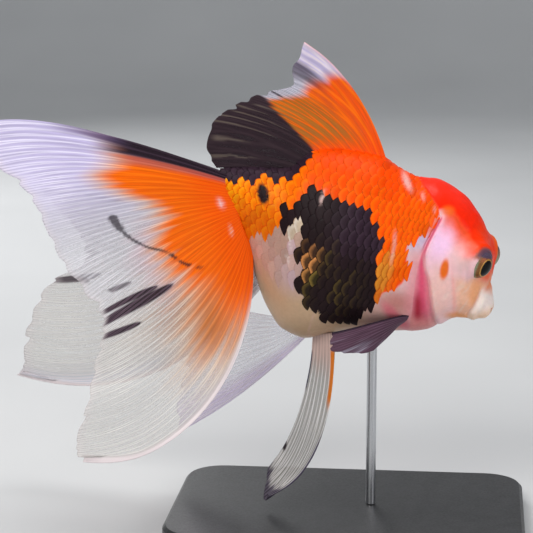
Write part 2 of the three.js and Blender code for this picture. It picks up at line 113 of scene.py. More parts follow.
TAIL_LEFT = {"root_thickness": 1.8, "rays": (
    (0, (-40.4, 0.9, 9.4), 80, (-6, 3, 32), (1, 4, 6)),
    (0.2, (-38.4, 1.6, 4.6), 61, (6, 16, 28), (6, 14, 14)),
    (0.4, (-36, 2.4, 1), 53, (24, 32, 38), (10, 20, 20)),
    (0.52, (-34.4, 2.8, -1.2), 55, (36, 38, 38), (12, 22, 22)),
    (0.66, (-32.6, 3.2, -3.8), 70, (52, 38, 22), (14, 22, 20)),
    (0.8, (-30.8, 3.5, -6.2), 87, (72, 44, 12), (14, 22, 20)),
    (0.92, (-29.2, 3.6, -8.2), 103, (88, 52, 6), (14, 22, 20)),
    (1, (-28.2, 3.6, -9.6), 111, (96, 68, 32, 4), (12, 22, 18)))}
DORSAL = {"root_thickness": 1.8, "rays": (
    (0, (4.2, 0, 25.6), 46.5, (-60, -40, -18), (0, 3, 4)),
    (0.1, (1.4, 0, 26), 39, (-54, -30, -12), (0, 3, 4)),
    (0.2, (-1.6, 0, 26), 32.5, (-46, -24, -8), (0, 3, 4)),
    (0.35, (-6, 0, 25.4), 33, (-38, -20, -4), (0, 3, 3)),
    (0.5, (-10.3, 0, 24.4), 33.5, (-32, -12, 0), (0, 2, 1)),
    (0.65, (-14.3, 0, 23), 33, (-26, -8, 4), (0, 0, -1)),
    (0.8, (-18, 0, 21.2), 32, (-18, -4, 8), (0, -1, -3)),
    (0.9, (-21, 0, 18.4), 28.6, (-4, 6, 14), (0, -2, -4)),
    (1, (-23.6, 0, 15.4), 21.8, (9, 13, 16), (0, -1, -2)))}
PELVIC_RIGHT = {"root_thickness": 1.6, "rays": (
    (0, (3.2, 9.4, -26), 58, (112, 91, 42), (10, 8, 0)),
    (0.5, (0.4, 7.6, -27.4), 57, (105.5, 91, 55.5), (4, 2, 0)),
    (1, (-2.4, 5.6, -28.6), 48.5, (101, 90, 70), (-4, -6, -6)))}
PELVIC_LEFT = {"root_thickness": 1.6, "rays": (
    (0, (-0.8, 8.6, -26), 67, (68, 60, 50), (14, 16, 12)),
    (0.35, (-2.4, 7.8, -27.4), 52, (56, 47, 34), (16, 20, 18)),
    (0.7, (-4, 7, -28.4), 38, (36, 29, 22), (16, 22, 22)),
    (1, (-5.6, 6.4, -28.8), 25, (14, 12, 10), (16, 22, 24)))}
PECTORAL = {"root_thickness": 1.4, "rays": (
    (0, (25, 13.4, -12.4), 27, (20, 27, 26), (34, 22, 8)),
    (0.4, (24.2, 12.6, -13.8), 27, (36, 36, 30), (36, 24, 10)),
    (0.7, (23.4, 11.8, -15), 20, (50, 46, 40), (36, 26, 16)),
    (1, (22.6, 11, -16), 13, (64, 60, 58), (36, 28, 20)))}
ANAL = {"root_thickness": 1.4, "rays": (
    (0, (-21.2, 2.4, -19.4), 23, (66, 62, 50), (4, 8, 8)),
    (0.5, (-24, 2.6, -15.6), 19, (54, 48, 40), (4, 8, 8)),
    (1, (-26.6, 2.8, -11.8), 14, (38, 34, 30), (4, 8, 8)))}

RIGHT, LEFT = -1, 1

# ---------------------------------------------------------------- small tools


def smooth_line(points):
    """A smooth line through [x, value] pairs that never overshoots them."""
    xs, values = np.array(points, float).T
    spans = np.diff(xs)
    slopes = np.diff(values) / spans
    tangents = np.zeros(len(xs))
    tangents[0], tangents[-1] = slopes[0], slopes[-1]
    before, after = slopes[:-1], slopes[1:]
    turns = before * after <= 0
    tangents[1:-1] = np.where(turns, 0, 2 * before * after / np.where(turns, 1, before + after))

    def at(x):
        x = np.asarray(x, float)
        i = np.clip(np.searchsorted(xs, x) - 1, 0, len(spans) - 1)
        t = np.clip((x - xs[i]) / spans[i], 0, 1)
        t2, t3 = t * t, t * t * t
        return ((2 * t3 - 3 * t2 + 1) * values[i] + (t3 - 2 * t2 + t) * spans[i] * tangents[i]
                + (3 * t2 - 2 * t3) * values[i + 1] + (t3 - t2) * spans[i] * tangents[i + 1])
    return at


def by_height(points):
    """A line in the side view, read as x at a height z."""
    return smooth_line(sorted([z, x] for x, z in points))


def step(low, high, value):
    """0 below low, 1 above high, smooth between."""
    t = np.clip((value - low) / (high - low), 0, 1)
    return t * t * (3 - 2 * t)


def ridge(value, width):
    return np.exp(-(value / width) ** 2)


def mix(a, b, t):
    return a + (b - a) * t


def unit(v):
    return v / np.maximum(np.linalg.norm(v, axis=-1, keepdims=True), 1e-9)


def wobble(a, b, size, seed=0):
    """Smooth noise of two measures, -1 to 1, with lumps of about the given size."""
    a, b = np.asarray(a, float) / size, np.asarray(b, float) / size
    i, j = np.floor(a), np.floor(b)
    s, t = a - i, b - j
    s, t = s * s * (3 - 2 * s), t * t * (3 - 2 * t)

    def corner(p, q):
        scattered = np.sin(p * 127.1 + q * 311.7 + seed * 74.7) * 43758.5453
        return 2 * (scattered - np.floor(scattered)) - 1
    low = mix(corner(i, j), corner(i + 1, j), s)
    high = mix(corner(i, j + 1), corner(i + 1, j + 1), s)
    return mix(low, high, t)


def colour(red, green, blue):
    """A screen colour, 0 to 255, as linear light."""
    c = np.array([red, green, blue]) / 255
    return np.where(c <= 0.04045, c / 12.92, ((c + 0.055) / 1.055) ** 2.4)


def placed(points):
    """Curves, tips and lifts points of the straight fish on to the stand, in metres."""
    x, y, z = np.moveaxis(np.asarray(points, float), -1, 0)
    along = np.clip(x, -BEND_TO, BEND_TO)
    turn = along / BEND_RADIUS
    rest = x - along
    bent_x = BEND_RADIUS * np.sin(turn) + rest * np.cos(turn) + y * np.sin(turn)
    bent_y = -BEND_RADIUS * (1 - np.cos(turn)) - rest * np.sin(turn) + y * np.cos(turn)
    c, s = math.cos(NOSE_DOWN), math.sin(NOSE_DOWN)
    return np.stack([bent_x * c + z * s, bent_y, FISH_HEIGHT - bent_x * s + z * c], -1) * MM


def new_piece(name, points, faces, material, replaces, attributes, bake_uv):
    """A smooth-shaded mesh piece, with attributes and a bake map given point by point."""
    mesh = bpy.data.meshes.new(name)
    points = np.asarray(points, float).reshape(-1, 3)
    sizes, corners = np.array([len(face) for face in faces]), np.concatenate(faces)
    mesh.vertices.add(len(points))
    mesh.vertices.foreach_set("co", points.ravel())
    mesh.loops.add(len(corners))
    mesh.loops.foreach_set("vertex_index", corners.astype(np.int32))
    mesh.polygons.add(len(sizes))
    mesh.polygons.foreach_set("loop_start", np.concatenate([[0], np.cumsum(sizes)[:-1]]).astype(np.int32))
    mesh.update(calc_edges=True)
    mesh.polygons.foreach_set("use_smooth", np.ones(len(sizes), bool))
    for key, values in attributes.items():
        values = np.asarray(values, float)
        if values.ndim == 2:
            made = mesh.attributes.new(key, "FLOAT_COLOR", "POINT")
            made.data.foreach_set("color", np.column_stack([values, np.ones(len(values))]).ravel())
        else:
            made = mesh.attributes.new(key, "FLOAT", "POINT")
            made.data.foreach_set("value", values.ravel())
    layer = mesh.uv_layers.new(name="OFBake")
    layer.data.foreach_set("uv", bake_uv[corners].ravel())
    mesh.validate()
    mesh.materials.append(material)
    piece = bpy.data.objects.new(name, mesh)
    bpy.context.scene.collection.objects.link(piece)
    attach(piece, "root")
    if replaces:
        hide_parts(*replaces)


def grid_quads(rows, columns, closed=False):
    """Quads of a grid of points stored row by row; closed joins the last column to the first."""
    i, j = np.meshgrid(np.arange(rows - 1), np.arange(columns if closed else columns - 1), indexing="ij")
    after = (j + 1) % columns
    row, below = i * columns, (i + 1) * columns
    return np.stack([row + j, row + after, below + after, below + j], -1).reshape(-1, 4)


# ---------------------------------------------------------------- body surface

back_line, belly_line = smooth_line(BACK_LINE), smooth_line(BELLY_LINE)
half_width, widest_at = smooth_line(HALF_WIDTH), smooth_line(WIDEST_AT)
slit_x, hood_z = by_height(GILL_SLIT), smooth_line(HOOD_EDGE)
cover_rear_x, cover_front_x = by_height(GILL_COVER_REAR), by_height(GILL_COVER_FRONT)


def body_point(x, angle):
    """A point of the body: x along it, angle round it from the left flank over the back."""
    c, s = np.cos(angle), np.sin(angle)
    back, belly = back_line(x), belly_line(x)
    middle = np.minimum(back - 0.1, np.maximum(belly + 0.1, widest_at(x)))
    reach = np.where(s > 0, back - middle, middle - belly)
    power = np.where(s > 0, 2 / BACK_FULLNESS, 2 / BELLY_FULLNESS)
    y = half_width(x) * np.sign(c) * np.abs(c) ** power
    z = middle + reach * np.sign(s) * np.abs(s) ** power
    return np.stack([x + 0 * y, y, z], -1)


def body_normal(x, angle):
    h = 0.02
    along = body_point(x + h, angle) - body_point(x - h, angle)
    around = body_point(x, angle + h) - body_point(x, angle - h)
    return unit(np.cross(around, along))


class Flank:
    """One side of the body measured along its girth, upwards from where it is widest."""
    xs = np.linspace(TAIL_END, NOSE_END, 300)
    parts = np.linspace(-1, 1, 241)  # share of the way to the belly, below 0, or to the back, above 0

    def __init__(self):
        angles = np.linspace(-math.pi / 2, math.pi / 2, 361)
        rings = body_point(self.xs[:, None], angles[None, :])
        lengths = np.linalg.norm(np.diff(rings, axis=1), axis=-1)
        girth = np.concatenate([np.zeros((len(self.xs), 1)), np.cumsum(lengths, axis=1)], axis=1)
        level = girth[:, len(angles) // 2]
        self.down, self.up = level, girth[:, -1] - level
        self.angles = np.array([
            np.interp(np.where(self.parts > 0, self.parts * up, self.parts * down), row - middle, angles)
            for row, middle, up, down in zip(girth, level, self.up, self.down)])

    def lengths(self, x):
        return np.interp(x, self.xs, self.down), np.interp(x, self.xs, self.up)

    def at(self, x, arc, side):
        """Angle round the body of the point this far up the girth at x. Past the back or the belly
        it goes on down the other side."""
        down, up = self.lengths(x)
        part = np.where(arc > 0, arc / up, arc / down)
        over = np.abs(part) > 1
        part = np.where(over, np.sign(part) * 2 - part, part)
        i = np.clip((x - self.xs[0]) / (self.xs[1] - self.xs[0]), 0, len(self.xs) - 1.001)
        j = np.clip((part + 1) / 2 * (len(self.parts) - 1), 0, len(self.parts) - 1.001)
        i0, j0 = i.astype(int), j.astype(int)
        s, t = i - i0, j - j0
        a = self.angles
        angle = mix(mix(a[i0, j0], a[i0 + 1, j0], s), mix(a[i0, j0 + 1], a[i0 + 1, j0 + 1], s), t)
        other = np.where(over, -side, side)
        return np.where(other > 0, angle, math.pi - angle)


flank = Flank()

# ---------------------------------------------------------------- markings

ORANGE = colour(252, 80, 0)
YELLOW_ORANGE = colour(250, 118, 2)
HOOD_RED = colour(252, 38, 0)
BLACK = colour(36, 24, 27)
BLACK_GAP = colour(20, 13, 16)
PURPLE_BLACK = colour(48, 33, 44)
BRONZE = colour(226, 150, 86)
OLIVE_GOLD = colour(116, 96, 46)
SILVER = colour(194, 158, 142)
LILAC = colour(214, 190, 214)
PEARL = colour(238, 200, 202)
SALMON = colour(250, 92, 54)
WHITE = colour(238, 226, 228)
ROSE_BEIGE = colour(222, 170, 164)
SAND = colour(198, 168, 136)

# The big dark patch of the right flank, between these lines, and its lobe and the saddle behind.
PATCH_REAR = by_height([[-1, -21.5], [-2.9, -19.6], [-5.3, -18.6], [-8.8, -16.5], [-11.3, -15.1],
                        [-12.7, -8.9], [-14, -2.8], [-14.3, 1.4], [-14.6, 4.3], [-18.2, 9], [-17.4, 15]])
PATCH_FRONT = by_height([[1.4, -22.1], [8.4, -19.9], [10.4, -15], [12.5, -11], [12.3, -7.1], [11.9, -3.2],
                         [10.1, 0.1], [9.3, 3.3], [10.4, 6.7], [6.6, 10], [4.6, 13.8], [2.5, 15]])
PATCH_LOW, PATCH_HIGH = -21.5, 14.6
SADDLE_EDGE = smooth_line([[-44, 7], [-39.7, 8.8], [-35.7, 9.8], [-32.3, 12], [-28.9, 13], [-25, 13.9],
                           [-21.4, 15.6], [-19.5, 18.9], [-18.6, 24]])
SILVER_EDGE = smooth_line([[-36, -12], [-30.6, -5.6], [-27.9, -4.8], [-24.3, -1.8], [-22.5, -0.2], [-19.3, 3],
                           [-14, 4], [-11, -14], [-6, -16], [4, -19], [12, -17], [16, -15], [24, -14]])
ORANGE_FRONT = by_height([[23, 18], [22.6, 16.7], [22.2, 14.5], [21.7, 12.9], [20.1, 10.9], [18.6, 9],
                          [17.6, 7.3], [18.5, 3.4], [20.3, 0.5], [19.4, -3], [18.3, -5.2], [16.5, -6.7],
                          [14.9, -7.7], [13.6, -10.6], [10, -12.5], [2, -16], [-4, -20]])
JAW_CREASE = by_height([[40.6, -10.5], [40.8, -8.5], [41.7, -6.2], [42.3, -2.6], [42.2, 0.2], [41.6, 2.2]])
LEFT_PATCH_REAR = by_height([[-6, -14], [-12, -6], [-9, 4], [-15, 13], [-12, 26]])
LEFT_PATCH_FRONT = by_height([[-3, -14], [6, -7], [3, 4], [8, 13], [4, 26]])
LEFT_PATCH_LOW, LEFT_PATCH_HIGH = -14, 24


class Coat(dict):
    """Colours and one plain measure, built up in layers over a set of places. Here they are the
    tint, the rim of a scale there, the glint just inside its rim, and its shine."""
    colours, measure = ("tint", "rim", "glint"), "shine"

    def __init__(self, count, amount, *tints):
        super().__init__((key, np.tile(linear(tint), (count, 1))) for key, tint in zip(self.colours, tints))
        self[self.measure] = np.full(count, float(amount))

    def layers(self, *layers):
        """Each layer is a mask, a tint, the measure or None to leave it, and the other colours
        if they aren't the tint's."""
        for mask, tint, amount, *others in layers:
            m = np.clip(mask, 0, 1)
            for key, value in zip_longest(self.colours, (tint, *others), fillvalue=tint):
                self[key] = mix(self[key], linear(value), m[:, None])
            if amount is not None:
                self[self.measure] = mix(self[self.measure], amount, m)
        return self

    def only(self, keep):
        for key in self:
            self[key] = self[key][keep]


def linear(tint):
    """A tint as linear light, from a named colour or from the three numbers of a screen colour."""
    return colour(*tint) if isinstance(tint, tuple) else tint


def oval(x, z, cx, cz, rx, rz, tilt=0.0, soft=0.25):
    """1 inside an oval of the side view, 0 outside; tilt in degrees leans its top forwards."""
    t = math.radians(tilt)
    a, b = x - cx, z - cz
    a, b = a * math.cos(t) - b * math.sin(t), a * math.sin(t) + b * math.cos(t)
    return 1 - step(1 - soft, 1 + soft, np.hypot(a / rx, b / rz))


def patch(x, z, rear, front, low, high):
    """1 between two lines of the side view and two heights, 0 outside."""
    inside = np.minimum(np.minimum(x - rear(z), front(z) - x), np.minimum(z - low, high - z))
    return step(-0.15, 0.15, inside)


def trunk_coat(x, y, z, grain):
    """Markings of the trunk and tail stem. Grain, -1 to 1, differs from scale to scale."""
    right = y < 0
    cloud = wobble(x, z, 4.2, 14)
    height = (z - belly_line(x)) / np.maximum(back_line(x) - belly_line(x), 1)
    spot = partial(oval, x, z)
    ridge_top = step(0.8, 0.96, height + 0.05 * grain) * step(-24, -14, x)
    shade = step(-16, -24, x) * step(6, 0, z + 0.3 * cloud)
    coat = Coat(len(x), 0, ORANGE, (206, 96, 8), (255, 104, 2))
    coat.layers(
        (ridge_top, (252, 72, 0), None, (204, 74, 4), (255, 78, 2)),
        (step(-14, -26, x) * 0.95, YELLOW_ORANGE, None, (206, 78, 2), (255, 146, 8)),
        (shade * 0.8, (204, 88, 6), None, (190, 80, 6), (212, 98, 8)),
        # yellow towards the tail's end: partly its colour, partly painted highlights on the scales
        (step(-34, -38, x) * 0.6, (255, 150, 0), None, (226, 100, 2), (255, 184, 16)),
        (step(0.2, 0.9, grain) * step(0.7, 0.5, height) * 0.35, YELLOW_ORANGE, None, ORANGE, (255, 156, 16)))

    # silver belly, with lilac, pink and beige in it
    silver = step(-0.5, 0.5, SILVER_EDGE(x) - z + 0.5 * grain)
    lilac = silver * step(0.0, 0.8, cloud) * step(-20, -14, x) * step(-16, -10, z)
    low = silver * step(-9, -18, z + 2 * cloud)
    coat.layers(
        (silver, SILVER, 0.25, SILVER * 0.96, SILVER * 1.01),
        (lilac * 0.7, LILAC, 0.3, LILAC * 0.96),
        (silver * spot(-25, -9, 4, 7, 0, 0.9) * 0.3, ROSE_BEIGE, 0.2, (217, 166, 160)),
        (low * 0.9, (196, 166, 134), 0.12, (192, 163, 131), SAND),
        (silver * spot(-15, -12.4, 5, 4, 30, 1) * 0.6, (200, 174, 184), 0.25, (194, 168, 178),
         (204, 180, 192)))

    # a beige spot behind the right flank's patch, partly its colour and partly a painted highlight below the
    # lobe, and ochre ahead of it
    beige = right * spot(-17.4, 2.4, 3.2, 2.6, 30)
    ochre = right * spot(12.6, -2.4, 2.6, 7, 4, 0.5)
    coat.layers(
        (beige * 0.8, (216, 198, 172), 0.4, (196, 178, 150), (240, 230, 214)),
        (ochre * 0.8, (206, 136, 48), 0.1, (170, 100, 20), (222, 150, 50)))

    # pale shoulder before the gill opening, pink towards it and at the pectoral fin
    pale = step(-0.5, 0.5, x - ORANGE_FRONT(z) + 0.5 * grain) * step(18.5, 17, z)
    towards = step(-5, -0.3, x - slit_x(z)) * step(9, 3, z)
    coat.layers(
        (pale, mix(PEARL, LILAC, step(4, 10, z)[:, None]), 0.25, PEARL, PEARL),
        (pale * step(10.5, 13.5, z) * 0.85, (250, 112, 66), 0.05),
        (pale * step(-2, -10, z) * 0.8, (202, 158, 144), 0.12, (190, 150, 136), PEARL),
        (pale * step(15, 6, x) * step(-12, -18, z) * 0.9, SAND, 0.1),
        (pale * towards * 0.8, (230, 148, 156), 0.05),
        (pale * spot(19.4, -9.6, 3.4, 3, 0, 0.9) * 0.55, (190, 92, 88), 0.05),
        (pale * spot(20.2, -14.8, 6, 1.9, 40, 0.6) * 0.85, (214, 104, 120), 0.05))

    # dark patches: purple above, bronze and olive glints below and behind
    ragged = (x + 0.5 * grain, z + 0.6 * grain)
    dark_right = np.maximum(patch(*ragged, PATCH_REAR, PATCH_FRONT, PATCH_LOW, PATCH_HIGH),
                            spot(-19.6, 4.8, 2.9, 4.6, 28, 0.04))
    dark_left = patch(*ragged, LEFT_PATCH_REAR, LEFT_PATCH_FRONT, LEFT_PATCH_LOW, LEFT_PATCH_HIGH)
    dark = step(0.4, 0.6, np.where(right, dark_right, dark_left))
    upper = (step(-4, 6, z) * step(-10, 0, x))[:, None]
    dim = dark * spot(-3.5, -9, 9, 9.5, 0, 0.7) * step(-0.9, 0.9, grain)
    bright = dark * spot(-9.4, -7, 3.2, 5.6, -10, 0.5) * step(-0.7, 0.1, grain)
    olive = step(-0.6, 0.6, 0.35 * (x + 8.4) - 0.3 * (z + 8))[:, None]
    saddle = step(0.45, 0.55, step(-0.12, 0.12, z - SADDLE_EDGE(x) + 0.5 * grain) * step(-17.3, -17.6, x))
    coat.layers(
        (dark, mix(BLACK, PURPLE_BLACK, upper), 0, BLACK_GAP, mix(BLACK, colour(60, 44, 56), upper)),
        (dim * 0.6, (42, 34, 27), 0.08, BLACK_GAP, OLIVE_GOLD * 0.8),
        (bright, mix(colour(88, 60, 38), colour(54, 47, 26), olive), 0.2, BLACK_GAP,
         mix(BRONZE, OLIVE_GOLD * 1.25, olive)),
        (saddle, PURPLE_BLACK * 1.1, 0, PURPLE_BLACK * 0.6, PURPLE_BLACK * 1.4))
    return coat


# Glints on the right flank: an oval's middle, half sizes and tilt, and the strength.
GLINTS = ((11.2, 23.6, 0.75, 2.6, -48, 0.7), (17.3, 21.2, 0.5, 1.2, -40, 0.4),
          (13.2, 8, 0.45, 2.4, -18, 0.45), (-11.9, 13.0, 0.4, 1.9, 0, 0.7),
          (21.9, 18.9, 0.4, 1, -20, 0.35), (13.9, 4, 0.45, 3, -10, 0.45))


def small_marks(coat, x, y, z):
    """Marks smaller than a scale: black spots, and painted highlights."""
    right, spot = y < 0, partial(oval, x, z)
    coat.layers(
        (right * spot(-29.4, 7.8, 1.7, 2.9, -32, 0.15), BLACK, 0),
        (~right * spot(-27, 5, 2.8, 2.2, 20, 0.15), BLACK, 0),
        # painted highlights: two small white wet glints on the belly beside the patch
        (right * spot(-17.6, -2.6, 0.3, 1.8, -24, 0.7) * 0.5, (246, 238, 234), 0.2),
        (right * spot(-16.8, -7.4, 0.3, 1.5, -24, 0.7) * 0.5, (246, 238, 234), 0.2),
        *((right * spot(*sizes, 0.7) * strength, (244, 206, 200), 0.05) for *sizes, strength in GLINTS))


def head_coat(x, y, z):
    """Markings of the head, ahead of the gill slit."""
    right = y < 0
    soft = wobble(x, z, 1.6, 11)
    streaks = wobble(x - 0.3 * z, z * 0.2, 0.8, 3)
    spot = partial(oval, x, z)
    pink_white = (248, 200, 204)
    coat = Coat(len(x), 0.15, pink_white, pink_white, pink_white)
    coat.layers(
        # a lilac-white oval on the upper gill cover: partly its colour, partly a painted highlight
        (spot(27.2, 11.5, 3.6, 6, 12, 0.6), (255, 208, 240), 0.1),
        (spot(31, -4, 4.2, 7, -16, 0.5), (248, 200, 192), 0.08),
        (step(33, 37, x + 0.25 * z) * step(5, 1, z) * 0.9, (248, 190, 156), 0.05),
        (step(0.0, 0.8, streaks) * step(28, 33, x) * step(5, 0, z) * 0.3, (244, 224, 214), None),
        (spot(41.2, -1.6, 1.8, 5.0, -14, 0.6) * 0.8, (252, 172, 118), 0.1),
        (spot(38.2, -10.6, 3.4, 1.8, 8, 0.6) * 0.9, (246, 158, 84), 0.05),
        (step(-14.5, -17.5, z) * 0.5, SALMON, None))

    # snout: an orange top and pale lips
    lips = step(-0.2, 0.6, jaw_fold(x, z)) * step(1.6, -0.4, z)
    coat.layers(
        (step(1, 4, z) * step(39.5, 42, x) * 0.9, (246, 96, 24), 0),
        (lips, (255, 236, 228), 0),
        (lips * step(-4.5, -9.5, z + 0.5 * (44 - x)) * 0.8, (255, 206, 166), 0),
        (step(-2.2, 0.2, z + 0.4 * (x - 44)) * step(42.3, 43.4, x) * 0.85, (250, 126, 54), None))

    # hood, and the salmon fade below its edge
    above = z - hood_z(x) + 0.3 * soft
    lowered = above + 2.2 * step(33, 38, x)
    eye_up = z - EYE["z"]
    beside_eye = step(2.6, 5, np.hypot(x - EYE["x"], eye_up) + 0.9 * eye_up)
    top = step(0.9, 0.995, (z - belly_line(x)) / (back_line(x) - belly_line(x)))
    coat.layers(
        (step(-9, -0.5, above) * step(24, 27, x) * beside_eye * 0.95, SALMON, None),
        (step(-5.5, -0.5, lowered) * step(25, 29, x) * beside_eye * 0.85, (252, 78, 30), None),
        (step(-0.9, 0.5, lowered), HOOD_RED, 0),
        (step(-0.9, 0.5, lowered) * step(33, 38, x) * 0.6, (255, 66, 4), 0),
        (spot(25.8, 19.4, 1.8, 1.2, 0, 0.6) * 0.8, (250, 110, 30), None),
        # painted sheen: a pinkish-red highlight along the top of the hood
        (top * step(12, 20, x) * step(34, 28, x) * 0.35, (250, 60, 50), None))

    # crease at the upper edge of the gill cover, and the membrane in the opening behind it
    behind = cover_rear_x(z) - x
    across = np.clip((x - slit_x(z)) / np.maximum(cover_rear_x(z) - slit_x(z), 0.6), 0, 1)
    band = step(-0.6, 0.9, behind) * step(9, 4, z)
    membrane = mix(colour(234, 158, 166), colour(228, 156, 152), step(-9, -15, z)[:, None])
    blood = band * ridge(across - 0.26, 0.24) * step(-3, -9, z) * step(-17, -12, z)
    coat.layers(
        (ridge(behind, 0.5) * step(18.5, 16.5, z) * step(3, 7, z) * 0.85, (206, 60, 100), None),
        (band, membrane, 0.05),
        (band * ridge(across - 0.45, 0.42) * step(-17, -9, z), (226, 88, 120), None),
        (blood * 0.9, (170, 32, 54), 0),
        (band * step(-14, -17, z) * 0.7, (226, 140, 142), 0),
        (ridge(cover_front_x(z) - x, 0.6) * step(-12, -8, z) * step(6, 0, z) * 0.2, SALMON, None),
        (right * spot(30.25, 3.6, 1.35, 2.95, -8, 0.35), (240, 112, 30), 0),
        (~right * spot(34.5, -3.5, 2.2, 1.8, -20, 0.3), (72, 52, 60), 0.1))
    return coat


def body_coat(points, grain):
    """Markings of head and trunk together."""
    x, y, z = np.moveaxis(points.reshape(-1, 3), -1, 0)
    trunk, head = trunk_coat(x, y, z, grain), head_coat(x, y, z)
    ahead = x - slit_x(z)
    trunk.layers(
        (ridge(ahead, 0.6) * step(17, 14, z) * step(4, 8, z) * 0.5, (214, 100, 130), None),
        (step(-0.15, 0.15, ahead), head["tint"], head["shine"], head["rim"], head["glint"]))
    return trunk


# ---------------------------------------------------------------- materials


class Look:
    """A Principled material, with short ways to add nodes and wire them."""

    def __init__(self, name, **sockets):
        self.material = bpy.data.materials.new(name)
        self.material.use_nodes = True
        self.tree = self.material.node_tree
        self.shader = self.tree.nodes["Principled BSDF"]
        self.set(**sockets)

    def put(self, socket, value):
        """Links another node's output to a socket, or sets the socket to a number or a colour."""
        if isinstance(value, bpy.types.NodeSocket):
            self.tree.links.new(value, socket)
        else:
            socket.default_value = value

    def set(self, **sockets):
        """Sets the shader's sockets, named with _ for a space."""
        for name, value in sockets.items():
            self.put(self.shader.inputs[name.replace("_", " ")], value)

    def node(self, kind, sockets, **settings):
        """The outputs of a new node."""
        made = self.tree.nodes.new("ShaderNode" + kind)
        for setting, value in settings.items():
            setattr(made, setting, value)
        for socket, value in sockets.items():
            self.put(made.inputs[socket], value)
        return made.outputs

    def read(self, output, *names):
        """Outputs that read attributes of the mesh, as Color or as Fac."""
        return [self.node("Attribute", {}, attribute_name=name)[output] for name in names]

    def noise(self, scale, detail=3.0, roughness=0.5):
        place = self.node("TexCoord", {})["Object"]
        return self.node("TexNoise", {"Vector": place, "Scale": scale, "Detail": detail,
                                      "Roughness": roughness})["Fac"]

    def fibres(self, place):
        return self.node("TexNoise", {"Vector": place, "Scale": 1.0, "Detail": 3.0})["Fac"]

    def spread(self, value, low, high, to_low=0.0, to_high=1.0):
        return self.node("MapRange", {"Value": value, "From Min": low, "From Max": high,
                                      "To Min": to_low, "To Max": to_high}, clamp=True)["Result"]

    def blended(self, amount, a, b, mode="MIX"):
        return self.node("Mix", {0: amount, 6: a, 7: b}, data_type="RGBA", blend_type=mode)[2]

    def shaded(self, tint, grain, *ranges):
        """A tint made darker and lighter by a grain."""
        shade = self.spread(grain, *ranges)
        grey = self.node("CombineColor", {"Red": shade, "Green": shade, "Blue": shade})["Color"]
        return self.blended(1.0, tint, grey, "MULTIPLY")

    def maths(self, operation, *values):
        return self.node("Math", dict(enumerate(values)), operation=operation)[0]

    def bump(self, height, distance, strength=0.6):
        self.set(Normal=self.node("Bump", {"Height": height, "Distance": distance,
                                           "Strength": strength})["Normal"])


def skin_material():
    look = Look("goldfish_skin", Coat_Weight=0.06, Coat_Roughness=0.2, IOR=1.33, Specular_IOR_Level=0.2,
                Subsurface_Weight=0.12, Subsurface_Scale=0.002, Subsurface_Radius=(1.0, 0.35, 0.2))
    look.set(Base_Color=look.shaded(*look.read("Color", "tint"), look.noise(900, 4), 0.3, 0.7, 0.95, 1.04),
             Metallic=look.read("Fac", "shine")[0],
             Roughness=look.spread(look.noise(500), 0.3, 0.7, 0.3, 0.46))
    look.bump(look.noise(1800), 0.00004, 0.4)
    return look.material


def scale_material():
    """Each scale: the rim's colour along its rear edge, and a glint inside it that fades forwards."""
    look = Look("goldfish_scales", Coat_Weight=0.0, IOR=1.33, Specular_IOR_Level=0.14)
    tint, rim, glint = look.read("Color", "tint", "rim", "glint")
    inset, shine = look.read("Fac", "inset", "shine")
    grain = look.noise(1500)
    ragged = look.maths("ADD", inset, look.spread(grain, 0.3, 0.7, -0.15, 0.15))
    inside = look.spread(ragged, 0.15, 0.45)
    fading = look.spread(ragged, 0.6, 1.7, 0.9, 0.0)
    lit = look.blended(look.maths("MULTIPLY", inside, fading), tint, glint)
    worn = look.blended(look.spread(ragged, 0.02, 0.3, 0.85, 0.0), lit, rim)
    look.set(Base_Color=look.shaded(worn, grain, 0.3, 0.7, 0.93, 1.05), Metallic=shine,
             Roughness=look.spread(grain, 0.3, 0.7, 0.36, 0.46))
    look.bump(look.noise(2200, 2), 0.00002, 0.3)
    return look.material


def fin_material():
    """Membrane with fibres that run along the rays, more see-through between them."""
    look = Look("goldfish_fin", Coat_Weight=0.04, Coat_Roughness=0.3, IOR=1.33, Specular_IOR_Level=0.2,
                Roughness=0.42)
    tint, ray_tint = look.read("Color", "tint", "rim")
    ray, cover, across, along = look.read("Fac", "ray", "cover", "across", "along")
    place = look.node("CombineXYZ", {"X": look.maths("MULTIPLY", across, 5.0),
                                     "Y": look.maths("MULTIPLY", along, 4.0)})["Vector"]
    fibre = look.fibres(place)
    bars = look.maths("MULTIPLY", ray, look.spread(fibre, 0.25, 0.55, 0.5, 1.0))
    filled = look.maths("ADD", cover, look.maths("MULTIPLY", bars, 0.3))
    filled = look.maths("ADD", filled, look.spread(fibre, 0.3, 0.7, -0.08, 0.08))
    look.set(Base_Color=look.shaded(look.blended(bars, tint, ray_tint), fibre, 0.25, 0.75, 0.86, 1.08),
             Alpha=look.spread(filled, 0.0, 1.0))
    look.bump(fibre, 0.00004, 0.4)
    return look.material


def eye_material():
    look = Look("goldfish_eye", Coat_Weight=0.12, Coat_Roughness=0.03, IOR=1.2, Roughness=0.3)
    fleck = look.noise(3200, 4, 0.7)
    look.set(Base_Color=look.shaded(*look.read("Color", "tint"), fleck, 0.35, 0.65, 0.75, 1.15),
             Metallic=look.read("Fac", "shine")[0])
    return look.material


def stand_material():
    look = Look("stand_black", Coat_Weight=0.25, Coat_Roughness=0.3)
    cloud = look.spread(look.noise(240, 4), 0.35, 0.65)
    look.set(Base_Color=look.blended(cloud, (0.012, 0.012, 0.013, 1), (0.022, 0.022, 0.024, 1)),
             Roughness=look.spread(look.noise(1600, 4), 0.3, 0.7, 0.32, 0.46))
    look.bump(look.noise(2400), 0.00003)
    return look.material


